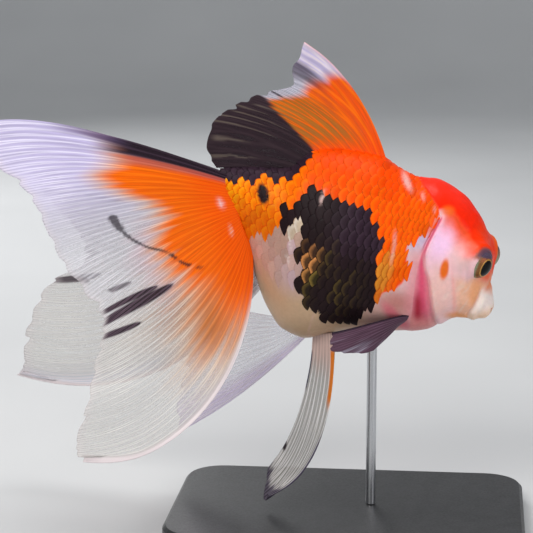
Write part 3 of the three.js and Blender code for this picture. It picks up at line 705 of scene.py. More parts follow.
def rod_material():
    look = Look("brushed_steel", Metallic=1.0)
    place = look.node("TexCoord", {})["Object"]
    brushed = look.fibres(look.node("Mapping", {"Vector": place, "Scale": (3000, 3000, 60)})["Vector"])
    streaks = look.spread(brushed, 0.3, 0.7)
    look.set(Base_Color=look.blended(streaks, (0.46, 0.47, 0.49, 1), (0.62, 0.63, 0.65, 1)),
             Roughness=look.spread(brushed, 0.3, 0.7, 0.2, 0.36))
    return look.material


def floor_material():
    look = Look("pale_floor", Roughness=0.75)
    cloud = look.spread(look.noise(6, 2), 0.3, 0.7)
    look.set(Base_Color=look.blended(cloud, (0.58, 0.59, 0.60, 1), (0.63, 0.64, 0.65, 1)))
    return look.material


# ---------------------------------------------------------------- skin

SKIN_SIDES = 320
TRUNK_RINGS, HEAD_RINGS, SNOUT_RINGS = 100, 126, 22
HEAD_START, SNOUT_START = 17, 44.4  # where the rings lie closer together
SCALED_DEPTH = 0.3  # the scaled trunk's skin lies this far inside the solids
# Heights of the skin's forms over the plain body surface, and depths below it.
COVER_LIFT = 0.55
COVER_BEAD = 0.14
COVER_CREASE = 0.55
CHEEK_LINE = 0.1
GILL_DEPTH = 0.7
GILL_MEMBRANE = 0.35
HOOD_LIFT = 0.3
HOOD_CREASE = 0.12
HOOD_LUMPS = 0.1
CHEEK_FOLDS = 0.08
JAW_DEPTH = 0.7
JAW_FOLD = 0.5
MOUTH_DEPTH = 2.2
NOSTRIL = (43.6, 3.0, 2.2)
NOSTRIL_RIM, NOSTRIL_DEPTH = 0.35, 0.7
LID_OPENING = math.radians(66)  # from the way the eye looks to the rim of its socket
LID_CLOSER = math.radians(12)  # less than that at the rear
LID_DEPTH = 4.2  # the lids spread from a point this far behind the eye's middle
LID_SLOPE = math.radians(3.4)  # over this turn on each side of the rim the lid comes out of the eyeball
LID_STANDS = 0.34
LID_FILLET = 4.2
LID_REACH = 12.5  # how far from the eye's middle the skin is drawn over the eyeball
LID_CORE = 8  # nearer than this, all that lies inside the rim follows the eyeball


def eye_middle(side):
    return np.array([EYE["x"], side * EYE["y"], EYE["z"]])


def eye_looks(side):
    return unit(np.array([EYE_LOOKS["forward"], side * EYE_LOOKS["out"], EYE_LOOKS["up"]]))


def skin_rings():
    trunk = np.linspace(TAIL_END + 0.05, HEAD_START, TRUNK_RINGS, endpoint=False)
    head = np.linspace(HEAD_START, SNOUT_START, HEAD_RINGS, endpoint=False)
    snout = NOSE_END - (NOSE_END - SNOUT_START) * np.linspace(1, 0, SNOUT_RINGS, endpoint=False) ** 1.5
    return np.concatenate([trunk, head, snout])


def jaw_fold(x, z):
    """How far a place lies ahead of the crease behind the upper jaw's pale fold."""
    return x - JAW_CREASE(z)


def skin_lift(x, y, z):
    """How far the skin stands out from the plain body surface."""
    ahead = x - slit_x(z)
    soft = step(7, 2, z)
    on_head = step(-0.15 - 1.6 * soft, 0.25 + 0.8 * soft, ahead)
    lift = -SCALED_DEPTH * (1 - on_head)

    # gill cover: its rear edge stands over a membrane, and fine lines cross it
    behind = cover_rear_x(z) - x
    ends = step(18.4, 16, z) * step(-16, -13, z)
    on_cover = step(0.15, -0.3, behind) * ends
    to_front = cover_front_x(z) - x
    opening = step(-1, 1.6, ahead) * step(0, 0.4, behind) * step(6, 2, z) * step(-16.5, -13, z)
    lift += COVER_LIFT * on_cover * step(-1.2, 4, to_front)
    lift -= GILL_DEPTH * opening
    lift += GILL_MEMBRANE * opening * ridge(x - mix(slit_x(z), cover_rear_x(z), 0.7), 0.8)
    lift -= COVER_CREASE * ridge(behind - 0.3, 0.4) * step(19, 17, z) * step(2, 5, z)
    lift -= CHEEK_LINE * ridge(to_front + 0.8, 0.7) * step(-16, -13, z) * step(6, 0, z)
    lift += COVER_BEAD * ridge(behind + 1.0, 0.5) * ends
    lift += 0.05 * wobble(x * 0.35, z, 0.8, 21) * on_cover

    # hood
    above = z - hood_z(x)
    lumps = HOOD_LUMPS * (wobble(x, y + z, 2.8, 4) + 0.4 * wobble(x, y - z, 1.3, 9))
    lift += on_head * step(-0.6, 0.8, above) * (HOOD_LIFT + lumps) * mix(0.2, 1, step(0, 5, ahead))
    lift -= HOOD_CREASE * on_head * ridge(above + 0.9, 0.6)

    # folds of the cheek and the pale fold of the upper jaw
    lift += CHEEK_FOLDS * wobble(x, z, 2.4, 2) * on_head * step(31, 34, x)
    fold = jaw_fold(x, z)
    on_side = step(0.5, 2.0, np.abs(y)) * step(2.0, 0, z) * step(-10.4, -8.8, z)
    lift -= JAW_DEPTH * ridge(fold, 0.5) * on_side
    lift += JAW_FOLD * ridge(fold - 1.6, 1.0) * step(2.4, 0.5, z)
    return lift


def mouth_depth(x, y, z):
    """How far the mouth's opening sinks back from the lips."""
    across = step(3.6, 2.2, np.abs(y))
    return MOUTH_DEPTH * ridge(z - MOUTH_HEIGHT - 0.04 * y * y, 0.55) * step(44.6, 46.6, x) * across


def nostril_lift(points):
    """A pit with a raised rim on each side of the snout."""
    x, y, z = NOSTRIL
    near = np.minimum(*(np.linalg.norm(points - (x, side * y, z), axis=-1) for side in (RIGHT, LEFT)))
    return NOSTRIL_RIM * ridge(near - 0.85, 0.35) - NOSTRIL_DEPTH * ridge(near, 0.5)


def socket(points, side):
    """Swells the skin over the eyeball and opens it between the lids."""
    middle, looks = eye_middle(side), eye_looks(side)
    start = middle - LID_DEPTH * looks
    out = points - start
    reach = np.linalg.norm(out, axis=-1)
    direction = out / reach[..., None]
    turn = np.arccos(np.clip(direction @ looks, -1, 1))
    sideways = unit(direction - (direction @ looks)[..., None] * looks)

    rear = unit(np.array([-looks[1] * side, looks[0] * side, 0]))
    opening = LID_OPENING - LID_CLOSER * step(0.1, 0.9, sideways @ rear)
    rim_turn = np.arctan2(EYE["radius"] * np.sin(opening), LID_DEPTH + EYE["radius"] * np.cos(opening))
    off = turn - rim_turn
    inside = off < 0
    radius = EYE["radius"] + np.clip(off / LID_SLOPE, -1, 1) * LID_STANDS + 0.15 * step(0.05, 0.35, off)
    c, s = np.cos(turn), np.sin(turn)
    over = LID_DEPTH * c + np.sqrt(np.maximum(radius ** 2 - (LID_DEPTH * s) ** 2, 0.01))
    far = np.linalg.norm(points - middle, axis=-1)
    fillet = LID_FILLET * step(LID_REACH, 7, far) * step(0, 0.4, off)
    joined = 0.5 * (reach + over + np.sqrt((reach - over) ** 2 + fillet ** 2))
    lidded = np.where(far < LID_REACH, joined, reach)
    lidded = np.where(inside & (far < LID_CORE), over, lidded)
    moved = start + (looks * c[..., None] + sideways * s[..., None]) * lidded[..., None]
    touched = (points[..., 1] * side > 0) & (far < LID_REACH) & (turn < 2.2)
    return np.where(touched[..., None], moved, points)


def lid_marks(coat, points, side):
    """Shade and colour on the skin round an eye."""
    away = points - eye_middle(side)
    far = np.linalg.norm(away, axis=-1)
    ahead, up = away[:, 0], away[:, 2] / far
    coat.layers((step(9.5, 6.5, far) * step(0.3, -0.1, up) * step(-2, -4, ahead) * 0.5, (214, 186, 182), 0))
    coat.layers((step(10, 7, far), coat["tint"], 0))
    if side == LEFT:
        coat.layers((step(8, 6, far) * step(-0.1, 0.4, up) * 0.85, (244, 112, 30), 0))
    coat.layers(
        # painted shade: a grey-brown ring on the skin behind the eye's rim
        (step(6.6, 5.3, far) * step(0.35, 0.1, up) * step(-1, -3, ahead) * 0.6, (172, 150, 138), 0),
        (step(5.6, 5.1, far) * step(0.3, 0.4, up) * 0.8, (150, 92, 66), 0),
        (step(5.5, 4.9, far) * step(0.46, 0.58, up) * 0.9, (88, 70, 92), 0))


def capped(points, caps):
    """Points and faces of a tube, from rings of points and one more point to close each end."""
    rings, sides = points.shape[:2]
    ring, final, first = np.arange(sides), (rings - 1) * sides, rings * sides
    pairs = list(zip(ring, (ring + 1) % sides))
    faces = list(grid_quads(rings, sides, closed=True)[:, ::-1])
    faces += [[first, a, b] for a, b in pairs] + [[first + 1, final + b, final + a] for a, b in pairs]
    return np.concatenate([points.reshape(-1, 3), caps]), faces


def with_ends(values):
    """Values of a tube's points, with those of its two end points after them."""
    return np.concatenate([values, values[[0, -1]]])


def make_skin():
    angles = 2 * math.pi * (np.arange(SKIN_SIDES) + 0.5) / SKIN_SIDES
    x, angle = np.meshgrid(skin_rings(), angles, indexing="ij")
    points = body_point(x, angle)
    normals = body_normal(np.clip(x, TAIL_END + 0.1, NOSE_END - 0.1), angle)
    lift = skin_lift(*np.moveaxis(points, -1, 0)) + nostril_lift(points)
    lift = lift * step(NOSE_END + 0.2, NOSE_END - 1.2, x)
    sunk = mouth_depth(*np.moveaxis(points, -1, 0))
    shaped = points + normals * lift[..., None]
    shaped[..., 0] -= sunk
    for side in (RIGHT, LEFT):
        shaped = socket(shaped, side)

    coat = body_coat(points, 0.6 * wobble(x, angle * 12, 1.3, 6).ravel())
    for side in (RIGHT, LEFT):
        lid_marks(coat, shaped.reshape(-1, 3), side)
    # the mouth's opening: its crimson, darkened by half as painted shade
    coat.layers((step(0.5, 1.4, sunk.ravel()), colour(186, 30, 48) * 0.5, None))

    vertices, faces = capped(shaped, [shaped[0].mean(axis=0), shaped[-1].mean(axis=0)])
    new_piece("skin", placed(vertices), faces, skin_material(),
              ("head", "hood", "gill_cover_right", "gill_cover_left", "trunk", "tail_stem"),
              {"tint": with_ends(coat["tint"]), "shine": np.append(coat["shine"], [0.1, 0.1])},
              with_ends(skin_uv(x, angle).reshape(-1, 2)))


def skin_uv(x, angle):
    """The unwrap of the skin: along the fish and round it from the belly."""
    along = (x - TAIL_END) / (NOSE_END - TAIL_END)
    around = ((angle + math.pi / 2) / (2 * math.pi)) % 1
    return np.stack([0.01 + 0.98 * along, 0.01 + 0.98 * around], -1)


# ---------------------------------------------------------------- scales

# Distance along a row from scale to scale, and round the body to the next row but one.
SCALE_PITCH = smooth_line([[-44, 1.8], [-30, 2.2], [-16, 2.7], [0, 2.6], [8, 2.1], [14, 1.75], [25, 1.4]])
SCALE_ROW = smooth_line([[-44, 4.4], [-30, 6.0], [-18, 7.2], [-5, 7.6], [12, 7.6], [25, 6.4]])
FIRST_SCALE, LAST_SCALE = 25.5, TAIL_END + 1.2
SCALE_FRONT = 0.95  # of a pitch, from a scale's middle to its hidden front
SCALE_REAR = 1.0
SCALE_WIDTH = 0.92
SCALE_TUCK = 0.34  # how deep the front lies in the skin, and how high the rear edge stands over it
SCALE_RISE = 0.26
SCALE_PATCH = 0.003  # size in the bake map
SHOWS_BEHIND = 1.0  # from a scale's middle back to where it shows
PLATE = 0.13  # thickness of a scale's rear edge
SCALE_DOME, SCALE_LIP = 0.1, 0.07  # how high its middle bulges, and how far its rear edge bends in
# What differs at random from scale to scale: place, size, turn, lift and brightness.
ALONG_SPREAD, ROUND_SPREAD = 0.05, 0.07
SIZE_SPREAD, TILT_SPREAD, LIFT_SPREAD, BRIGHT_SPREAD = 0.025, 0.035, 0.03, 0.07
LENGTHWAYS = np.array([0, 0.3, 0.55, 0.75, 0.88, 0.96, 1.0])
CROSSWAYS = np.array([-1, -0.92, -0.75, -0.5, -0.25, 0, 0.25, 0.5, 0.75, 0.92, 1])


def scale_places(side, random):
    """Middles of the scales of one side: x, girthwise place, row height and pitch of each."""
    places = []
    x, column = FIRST_SCALE, 0
    while x > LAST_SCALE:
        row, pitch = float(SCALE_ROW(x)), float(SCALE_PITCH(x))
        down, up = flank.lengths(x)
        stagger = 0.5 * (column % 2)
        for n in range(math.ceil(-down / row - stagger), math.floor(up / row - stagger) + 1):
            arc = (n + stagger) * row
            at_edge = min(up - arc, down + arc) < 0.18 * row
            if at_edge and side == LEFT:
                continue
            moved = random.normal(0, ALONG_SPREAD), random.normal(0, ROUND_SPREAD)
            places.append([x + moved[0], arc + moved[1], row, pitch])
        x -= pitch / 2
        column += 1
    return np.array(places)


def chosen_scales(side, random):
    """The scales that are made on one side, and the colours of each as a whole."""
    places = scale_places(side, random)
    x, arc = places[:, 0], places[:, 1]
    level = body_point(x, flank.at(x, arc, side))[:, 2]
    # none is made under the head, and the pale shoulder has only the few that border the orange
    coloured_to = np.maximum(ORANGE_FRONT(level), PATCH_FRONT(level)) + 1.3
    by_patch = (x < PATCH_FRONT(level) + 0.5) & (x > PATCH_REAR(level) - 0.5)
    keep = (x < slit_x(level) + 0.5) & ((x < coloured_to) | (level > 18)) & ((level > -17) | by_patch)

    # pigment belongs to the whole scale, read where it shows
    behind = x - SHOWS_BEHIND
    coat = body_coat(body_point(behind, flank.at(behind, arc, side)), random.uniform(-1, 1, len(x)))
    # pale scales show only behind the shoulder and above the belly; orange and black hold little blue
    keep &= (coat["tint"][:, 2] < 0.035) | ((x < 6) & (level > -15))
    coat.only(keep)
    return places[keep], coat


def scale_plates(side, places, relief, size, tilt, lift):
    """The top of each scale's plate, the same a plate's thickness lower, and how far inside its rear
    edge each point lies."""
    x, arc, row, pitch = (column[:, None, None] for column in places.T)
    u, v = LENGTHWAYS[None, :, None], CROSSWAYS[None, None, :]
    front = SCALE_FRONT * pitch * size
    rear = -SCALE_REAR * pitch * size * (1 - np.abs(v + 0.15 * (1 - v ** 2)) ** 1.8)
    along = mix(front, rear, u)
    across = v * SCALE_WIDTH * row / 2 * size * mix(0.8, 1, step(0, 0.4, u))
    along, across = along - tilt * across, across + tilt * along
    px = x + along
    angle = flank.at(px, arc + across, side)
    surface, normal = body_point(px, angle), body_normal(px, angle)
    inset = (1 - u) * (front - rear)
    height = mix(-SCALE_TUCK, SCALE_RISE * (1 - 0.9 * np.abs(v) ** 3), u) + lift * u
    height = height + SCALE_DOME * (1 - v ** 2) * np.sin(math.pi * u * 0.85)
    height = height - SCALE_LIP * step(0.3, 0, inset)
    top = surface + normal * (height * relief - SCALED_DEPTH)[..., None]
    under = top - normal * PLATE - unit(np.gradient(surface, axis=1)) * 0.03
    return top, under, np.broadcast_to(inset, top.shape[:3])


def make_scales(side, name):
    random = np.random.default_rng(SEED + side)
    places, coat = chosen_scales(side, random)
    count = len(places)
    size = 1 + random.normal(0, SIZE_SPREAD, (count, 1, 1))
    tilt = random.normal(0, TILT_SPREAD, (count, 1, 1))
    lift = random.normal(0, LIFT_SPREAD, (count, 1, 1))
    bright = 1 + random.normal(0, BRIGHT_SPREAD, (count, 1))
    pearly = step(0.08, 0.14, coat["shine"]) * (coat["tint"][:, 2] > 0.2)
    relief = mix(1, 0.06, pearly)[:, None, None]
    top, under, inset = scale_plates(side, places, relief, size, tilt, lift)

    # the top of the plate, then its rear edge turned down
    rows, columns = len(LENGTHWAYS), len(CROSSWAYS)
    points = np.concatenate([top.reshape(count, -1, 3), under[:, -1]], axis=1)
    inset = np.concatenate([inset.reshape(count, -1), np.zeros((count, columns))], axis=1)
    lip = np.arange(columns - 1)
    edge, below = (rows - 1) * columns, rows * columns
    turned = np.stack([edge + lip, edge + lip + 1, below + lip + 1, below + lip], -1)
    plate = np.concatenate([grid_quads(rows, columns), turned])
    if side == RIGHT:
        plate = plate[:, ::-1]
    per_scale = points.shape[1]
    faces = (plate[None] + per_scale * np.arange(count)[:, None, None]).reshape(-1, 4)

    root_uv = skin_uv(places[:, 0], flank.at(places[:, 0], places[:, 1], side))
    local_u = np.concatenate([np.repeat(LENGTHWAYS, columns), np.ones(columns)])
    local_v = np.concatenate([np.tile(CROSSWAYS, rows), CROSSWAYS]) / 2 + 0.5
    uv = root_uv[:, None] + SCALE_PATCH * (np.stack([local_u, local_v], -1)[None] - 0.5)
    for key, values in coat.items():
        coat[key] = np.repeat(values * bright if values.ndim == 2 else values, per_scale, axis=0)
    small_marks(coat, *np.moveaxis(points.reshape(-1, 3), -1, 0))
    new_piece(name, placed(points), faces, materials["scales"], (),
              {**coat, "inset": inset.ravel()}, uv.reshape(-1, 2))


# ---------------------------------------------------------------- fins

FIN_MARGIN = 0.16  # thickness of the membrane at its edge
RAY_HEIGHT = 0.03
RAY_WIDTHS = 0.15, 0.055  # of the distance between rays, at the root and near the margin
FIN_WAVES = 3.5
FORKS = (0.28, 0.25), (0.6, 0.125)  # share of a ray's length where it forks, and how far it spreads
GRID_ACROSS, GRID_ALONG = 12, 90  # steps of a fin's grid from one ray to the next, and from root to margin


def fan_points(fin, side, across, along):
    """Points of a fan of rays, from the first ray to the last and from root to margin."""
    at, roots, lengths, slopes, leans = zip(*fin["rays"])
    u, v = np.linspace(0, 1, across + 1), (np.arange(along) + 0.5) / along

    def over(values):
        return smooth_line(list(zip(at, values)))(u)

    def turned(angles):
        lines = [smooth_line(list(zip(np.linspace(0, 1, len(row)), row)))(v) for row in angles]
        return np.radians([over(column) for column in np.transpose(lines)])
    root = np.stack([over(column) for column in zip(*roots)], -1) * [1, side, 1]
    down, out = turned(slopes), turned(leans)
    ways = np.stack([-np.cos(down) * np.cos(out), side * np.sin(out), -np.sin(down) * np.cos(out)], -1)
    steps = ways * (over(lengths) / along)[None, :, None]
    return np.concatenate([root[None], root[None] + np.cumsum(steps, axis=0)]).transpose(1, 0, 2)


def ray_pattern(u, v, rays):
    """1 on a ray and 0 between rays; each ray forks twice on its way to the margin."""
    off = np.abs(u * rays - np.round(u * rays))
    for fork, split in FORKS:
        off = np.abs(off - split * step(fork, fork + 0.4, v))
    return ridge(off, mix(*RAY_WIDTHS, step(0, 0.8, v)))


def make_fin(name, fin, side, rays, markings, fringe=0.02, sway=0.6, lobes=None):
    across = GRID_ACROSS * rays
    centre = fan_points(fin, side, across, GRID_ALONG)
    u, v = np.meshgrid(np.linspace(0, 1, across + 1), np.linspace(0, 1, GRID_ALONG + 1), indexing="ij")

    # the margin is nicked between rays and a little uneven
    def uneven(size, seed):
        return wobble(u * rays, v * 0, size, seed)
    nick = np.abs(np.sin(math.pi * (u + 0.012 * uneven(2.5, 4)) * (lobes or rays / 2))) ** 3
    nick = fringe * nick + 0.5 * fringe * uneven(0.6, 8) + 0.6 * fringe * uneven(3.1, 2)
    pulled = centre - (centre - centre[:, :1]) * (np.clip(nick, 0, 1) * step(0.75, 1, v))[..., None]
    sideways = unit(np.cross(np.gradient(pulled, axis=0), np.gradient(pulled, axis=1)))
    swell = sway * v ** 1.4 * np.sin(2 * math.pi * (u * FIN_WAVES + 0.15 * np.sin(5 * v)))
    middle = pulled + sideways * swell[..., None]

    ray = ray_pattern(u, v, rays)
    half = mix(fin["root_thickness"], FIN_MARGIN, step(0, 0.22, v) ** 0.6) / 2
    half = half + RAY_HEIGHT * ray * mix(1, 0.45, v)
    half = half * mix(1, 0.5, step(0.97, 1, v))
    points = np.stack([middle + sideways * half[..., None], middle - sideways * half[..., None]])

    # both faces, then the rim between them round the four edges of the grid
    quads, under = grid_quads(*u.shape), u.size
    grid = np.arange(u.size).reshape(u.shape)
    edges = grid[0], grid[:, -1], grid[-1, ::-1], grid[::-1, 0]
    rim = [np.stack([a[:-1], a[1:], a[1:] + under, a[:-1] + under], -1) for a in edges]
    faces = np.concatenate([quads[:, ::-1], quads + under] + rim)

    u, v = u.ravel(), v.ravel()
    uv = np.stack([0.01 + 0.48 * u, 0.01 + 0.98 * v], -1)
    values = {**markings(u, v), "ray": ray.ravel(), "across": u * rays, "along": v}
    new_piece(name, placed(points), faces, materials["fins"], (name,),
              {key: np.concatenate([value, value]) for key, value in values.items()},
              np.concatenate([uv, uv + [0.5, 0]]))


class FinCoat(Coat):
    """Colours of a fin: the membrane's tint, its rays' colour and how much it covers."""
    colours, measure = ("tint", "rim"), "cover"


VEIL = colour(206, 204, 212)
VEIL_RAY = colour(238, 236, 242)
FIN_LILAC = colour(210, 200, 240)
FIN_BLACK = colour(40, 28, 38)

ORANGE_REACH = smooth_line([[0, 0.34], [0.1, 0.5], [0.165, 0.62], [0.22, 0.57], [0.27, 0.47], [0.34, 0.4],
                            [0.42, 0.45], [0.48, 0.51], [0.56, 0.49], [0.65, 0.43], [0.77, 0.41],
                            [0.88, 0.38], [0.94, 0.3], [1, 0.24]])
STREAK = smooth_line([[0.3, 0.658], [0.34, 0.645], [0.385, 0.62], [0.44, 0.565], [0.49, 0.487], [0.56, 0.43],
                      [0.632, 0.335], [0.68, 0.27]])
# dark bars along the rays: u and v where each starts, where it ends, its half width in u, its strength
TAIL_BARS = {RIGHT: ((0.528, 0.99, 0.586, 0.6, 0.0115, 1), (0.566, 1.0, 0.62, 0.5, 0.0175, 1),
                     (0.622, 1.0, 0.662, 0.73, 0.0105, 1), (0.487, 0.9, 0.507, 0.75, 0.007, 0.75),
                     (0.43, 1.0, 0.44, 0.95, 0.008, 0.5)),
             LEFT: ((0.66, 1.02, 0.652, 0.76, 0.018, 0.9), (0.49, 1.0, 0.49, 0.93, 0.012, 0.7),
                    (0.25, 0.8, 0.3, 0.62, 0.008, 0.8))}
DORSAL_BLACK = smooth_line([[0, 0.74], [0.12, 0.68], [0.35, 0.615], [0.6, 0.522], [0.8, 0.45], [1, 0.39]])
DORSAL_PALE = smooth_line([[0, 0.68], [0.05, 0.73], [0.1, 0.8], [0.16, 0.86], [0.3, 0.84], [0.42, 0.9],
                           [1, 1.2]])
# thin pale lines in the dorsal fin's black: v where each starts at the margin and where it ends
DORSAL_LINES = (0.86, 0.5), (0.94, 0.66), (0.9, 0.44), (0.96, 0.6), (0.97, 0.4), (0.9, 0.62), (0.95, 0.5)


def bar(u, v, u0, v0, u1, v1, half):
    """A bar along the rays between two places of the fan, wide at its start and tapered at its end."""
    t = (v - v0) / (v1 - v0)
    blunt = np.sqrt(np.clip(1 - np.clip(t * 2.2 - 1.2, 0, 1) ** 2, 0.02, 1))
    ends = step(-0.06, 0.06, t) * step(1.04, 0.96, t)
    off = np.abs(u - mix(u0, u1, t)) / (half * mix(0.85, 1, np.clip(3 * t, 0, 1)) * blunt)
    return step(1.3, 0.8, off) * ends


def tail_streak(u, v):
    """The thin dark streak across the right tail fin, broken towards its low end."""
    thick = mix(0.022, 0.011, step(0.33, 0.38, u)) * (1 + 0.3 * wobble(u * 60, v * 0, 1.0, 12))
    inked = step(1.25, 0.7, np.abs(v - STREAK(u)) / thick) * step(0.306, 0.312, u) * step(0.7, 0.6, u)
    inked = np.maximum(inked, oval(u, v, 0.312, 0.654, 0.0125, 0.026, 0, 0.25))
    return inked * mix(1, step(-0.3, 0.2, wobble(u * 42, v * 0, 1.0, 31)), step(0.47, 0.52, u))


def tail_markings(side):
    def markings(u, v):
        coat = FinCoat(len(u), 0.3, VEIL, VEIL_RAY)
        streak = wobble(u * 70, v * 2, 1.0, 3)
        coat.layers(
            (step(0.45, 0.7, u), (208, 204, 200), 0.28, (240, 238, 234)),
            (step(0.42, 0.1, u) * step(0.2, 0.55, v) * 0.95, FIN_LILAC, 0.74, (242, 238, 255)),
            (step(0.12, 0, v), PEARL, 0.9, WHITE))

        # orange spreading out from the root, peach where it fades
        fade = mix(0.1, 0.24, step(0.6, 0.8, u))
        off = v - ORANGE_REACH(u) - 0.05 * streak
        pinkish = step(0.26, 0.04, off) * step(0.3, 0.42, u) * step(0.74, 0.62, u)
        ochre = step(0.68, 0.84, u) * step(0.2, 0.4, v) * step(0.14, -0.08, off)
        coat.layers(
            (pinkish * 0.6, (222, 180, 192), 0.45, (240, 212, 220)),
            (step(1.3 * fade, -0.5 * fade, off) * 0.75, (250, 176, 104), 0.5, (252, 190, 120)),
            (step(0.5 * fade, -0.9 * fade, off), (250, 104, 0), 0.9, (255, 118, 4)),
            (step(0.3, 0.08, v), (250, 88, 0), 0.97, (255, 104, 0)),
            (ochre * 0.75, (184, 102, 24), 0.84, (204, 114, 30)))

        # black along the upper edge, and bars
        edge, edge_end = u + 0.012 * streak, step(0.58, 0.4, v + 0.04 * streak)
        coat.layers(
            (step(0.115, 0.08, edge) * edge_end * 0.7, (150, 84, 88), 0.88, (176, 108, 112)),
            (step(0.072, 0.05, edge) * edge_end, FIN_BLACK, 0.92, (66, 50, 64)),
            (step(0.035, 0.01, u) * step(0.36, 0.5, v) * step(0.72, 0.56, v) * 0.6, (120, 100, 140), None),
            *((bar(u, v, *places) * strength, (50, 37, 46), 0.86, (112, 92, 106))
              for *places, strength in TAIL_BARS[side]))
        if side == RIGHT:
            coat.layers((tail_streak(u, v) * 0.85, FIN_BLACK, 0.85))
        else:
            low_edge = step(0.86, 0.97, u) * step(0.35, 0.6, v)
            coat.layers((low_edge * (0.6 + 0.4 * streak), (232, 236, 250), 0.9, WHITE))
        coat.layers(
            (step(0.975, 0.995, u) * step(0.1, 0.3, v), WHITE, 0.95),
            (step(0.95, 1, v) * 0.35, WHITE, 0.5))
        if side == RIGHT:
            # painted highlights: pink-white wet glints near the tail fin's root
            patchy_highlight = 0.75 + 0.4 * wobble(u * 60, v * 60, 1.0, 8)
            coat.layers(
                (oval(u, v, 0.33, 0.075, 0.06, 0.02, 0, 0.7) * patchy_highlight * 0.8, (252, 150, 130), 0.95, PEARL),
                (oval(u, v, 0.33, 0.075, 0.04, 0.009, 0, 0.6) * patchy_highlight * 0.8, (250, 214, 220), 0.95, PEARL),
                (oval(u, v, 0.6, 0.075, 0.05, 0.012, 0, 0.7) * patchy_highlight * 0.7, (252, 158, 110), 0.95, PEARL))
        return coat
    return markings


def dorsal_line(u, v, n):
    start, end = DORSAL_LINES[n]
    half = mix(0.003, 0.009, step(end, start + 0.06, v))
    off = np.abs(u - (0.5 + 0.072 * n) + 0.004 * wobble(v * 8, v * 0, 1.0, n)) / half
    return step(1.2, 0.6, off) * step(end - 0.1, end + 0.1, v) * step(start + 0.1, start, v)


def dorsal_markings(u, v):
    streak = wobble(u * 40, v * 3, 1.0, 5)
    pale = step(-0.07, 0.07, v - DORSAL_PALE(u) + 0.03 * streak)
    tip = oval(u, v, 0.1, 1.0, 0.034, 0.26, 0, 0.45) * (0.85 + 0.15 * streak)
    black = step(-0.015, 0.02, u - DORSAL_BLACK(v) + 0.012 * streak)
    return FinCoat(len(u), 0.82, (192, 116, 32), (252, 100, 2)).layers(
        (step(0.3, 0.08, u + 0.02 * streak), (255, 92, 6), 0.86, (255, 122, 16)),
        (step(0.3, 0.04, v + 0.02 * streak), (255, 84, 6), 0.9, (255, 104, 12)),
        (pale, (190, 186, 206), 0.34, (236, 234, 246)),
        (pale * step(0.12, 0.06, u), FIN_LILAC, 0.8, WHITE),
        (tip * 0.95, (52, 40, 58), 0.8, (96, 80, 112)),
        (bar(u, v, 0.33, 1.0, 0.345, 0.86, 0.008) * 0.9, FIN_BLACK, 0.8),
        (black, (48, 35, 42), 0.93, (62, 48, 54)),
        *((dorsal_line(u, v, n) * 0.75, (108, 96, 88), 0.9) for n in range(len(DORSAL_LINES))),
        (step(0.01, 0, u) * step(0.5, 0.7, v), (240, 190, 190), 0.9, WHITE))


def pelvic_markings(u, v):
    streak = wobble(u * 30, v * 3, 1.0, 6)
    orange = step(0.15, 0.1, u) * step(0.07, 0.11, v) * step(0.42, 0.33, v + 0.02 * streak)
    return FinCoat(len(u), 0.55, (158, 156, 150), (250, 246, 248)).layers(
        (step(0.3, 0.08, v + 0.03 * streak), (196, 168, 160), 0.92, (214, 188, 180)),
        (orange, (216, 118, 34), 0.95, (232, 136, 50)),
        (step(0.06, 0.02, u) * step(0.5, 0.62, v), (70, 62, 84), 0.9, (96, 88, 110)),
        (step(0.93, 0.98, u) * step(0.1, 0.14, v) * step(0.4, 0.34, v), (50, 46, 84), 0.9, FIN_BLACK),
        (oval(u, v, 1.0, 0.78, 0.09, 0.03), FIN_BLACK, 0.9),
        (step(0.9, 0.95, v + 0.04 * streak + 0.05 * (0.5 - u)), (46, 40, 54), 0.9, (120, 112, 126)))


def far_pelvic_markings(u, v):
    return FinCoat(len(u), 0.26, (232, 230, 246), (255, 252, 255)).layers(
        (step(0.3, 0.06, u), (240, 226, 255), 0.6, (255, 250, 255)),
        (step(0.2, 0.02, v) * 0.7, (246, 206, 220), 0.8, WHITE))


def pectoral_markings(u, v):
    pale = step(0.0, 0.8, wobble(u * 24, v * 2, 1.0, 6)) * step(0.5, 0.85, v) * step(0.1, 0.5, u)
    return FinCoat(len(u), 0.92, (86, 58, 74), (116, 88, 108)).layers(
        (pale * 0.7, (150, 140, 160), 0.7, (206, 198, 214)),
        (step(0.08, 0.02, u), (40, 28, 42), 0.95, (50, 36, 52)))


def anal_markings(u, v):
    return FinCoat(len(u), 0.4, VEIL, VEIL_RAY)


# ---------------------------------------------------------------- eyes

EYE_TURNS, EYE_SPINS = 72, 96  # steps from pole to pole of the eyeball, and points round it
PUPIL_LEVEL = 0.988  # share of the radius where the pupil lies


def eye_colours(turn, spin, height):
    """Colours of the eyeball, by the angle from where it looks, the angle round that and the height."""
    fine = wobble(spin * 6, turn * 14, 1.0, 2)
    degrees = np.degrees(turn) * (1 - 0.1 * np.cos(2 * spin))
    return Coat(len(turn), 0.1, (138, 94, 58), PEARL, PEARL).layers(
        (step(44, 56, degrees), (142, 146, 118), 0.3),
        (step(31, 38, degrees) * step(54, 44, degrees) * (0.6 + 0.4 * fine), (140, 90, 50), 0.3),
        (step(0.1, 0.4, height) * 0.6, (158, 84, 52), 0.2),
        (step(0.5, 0.6, height + 0.02 * fine), (88, 72, 92), 0.05),
        (ridge(degrees - 32.3, 1.6), (234, 176, 88), 0.6),
        (step(31, 29.5, degrees), (5, 4, 5), 0))


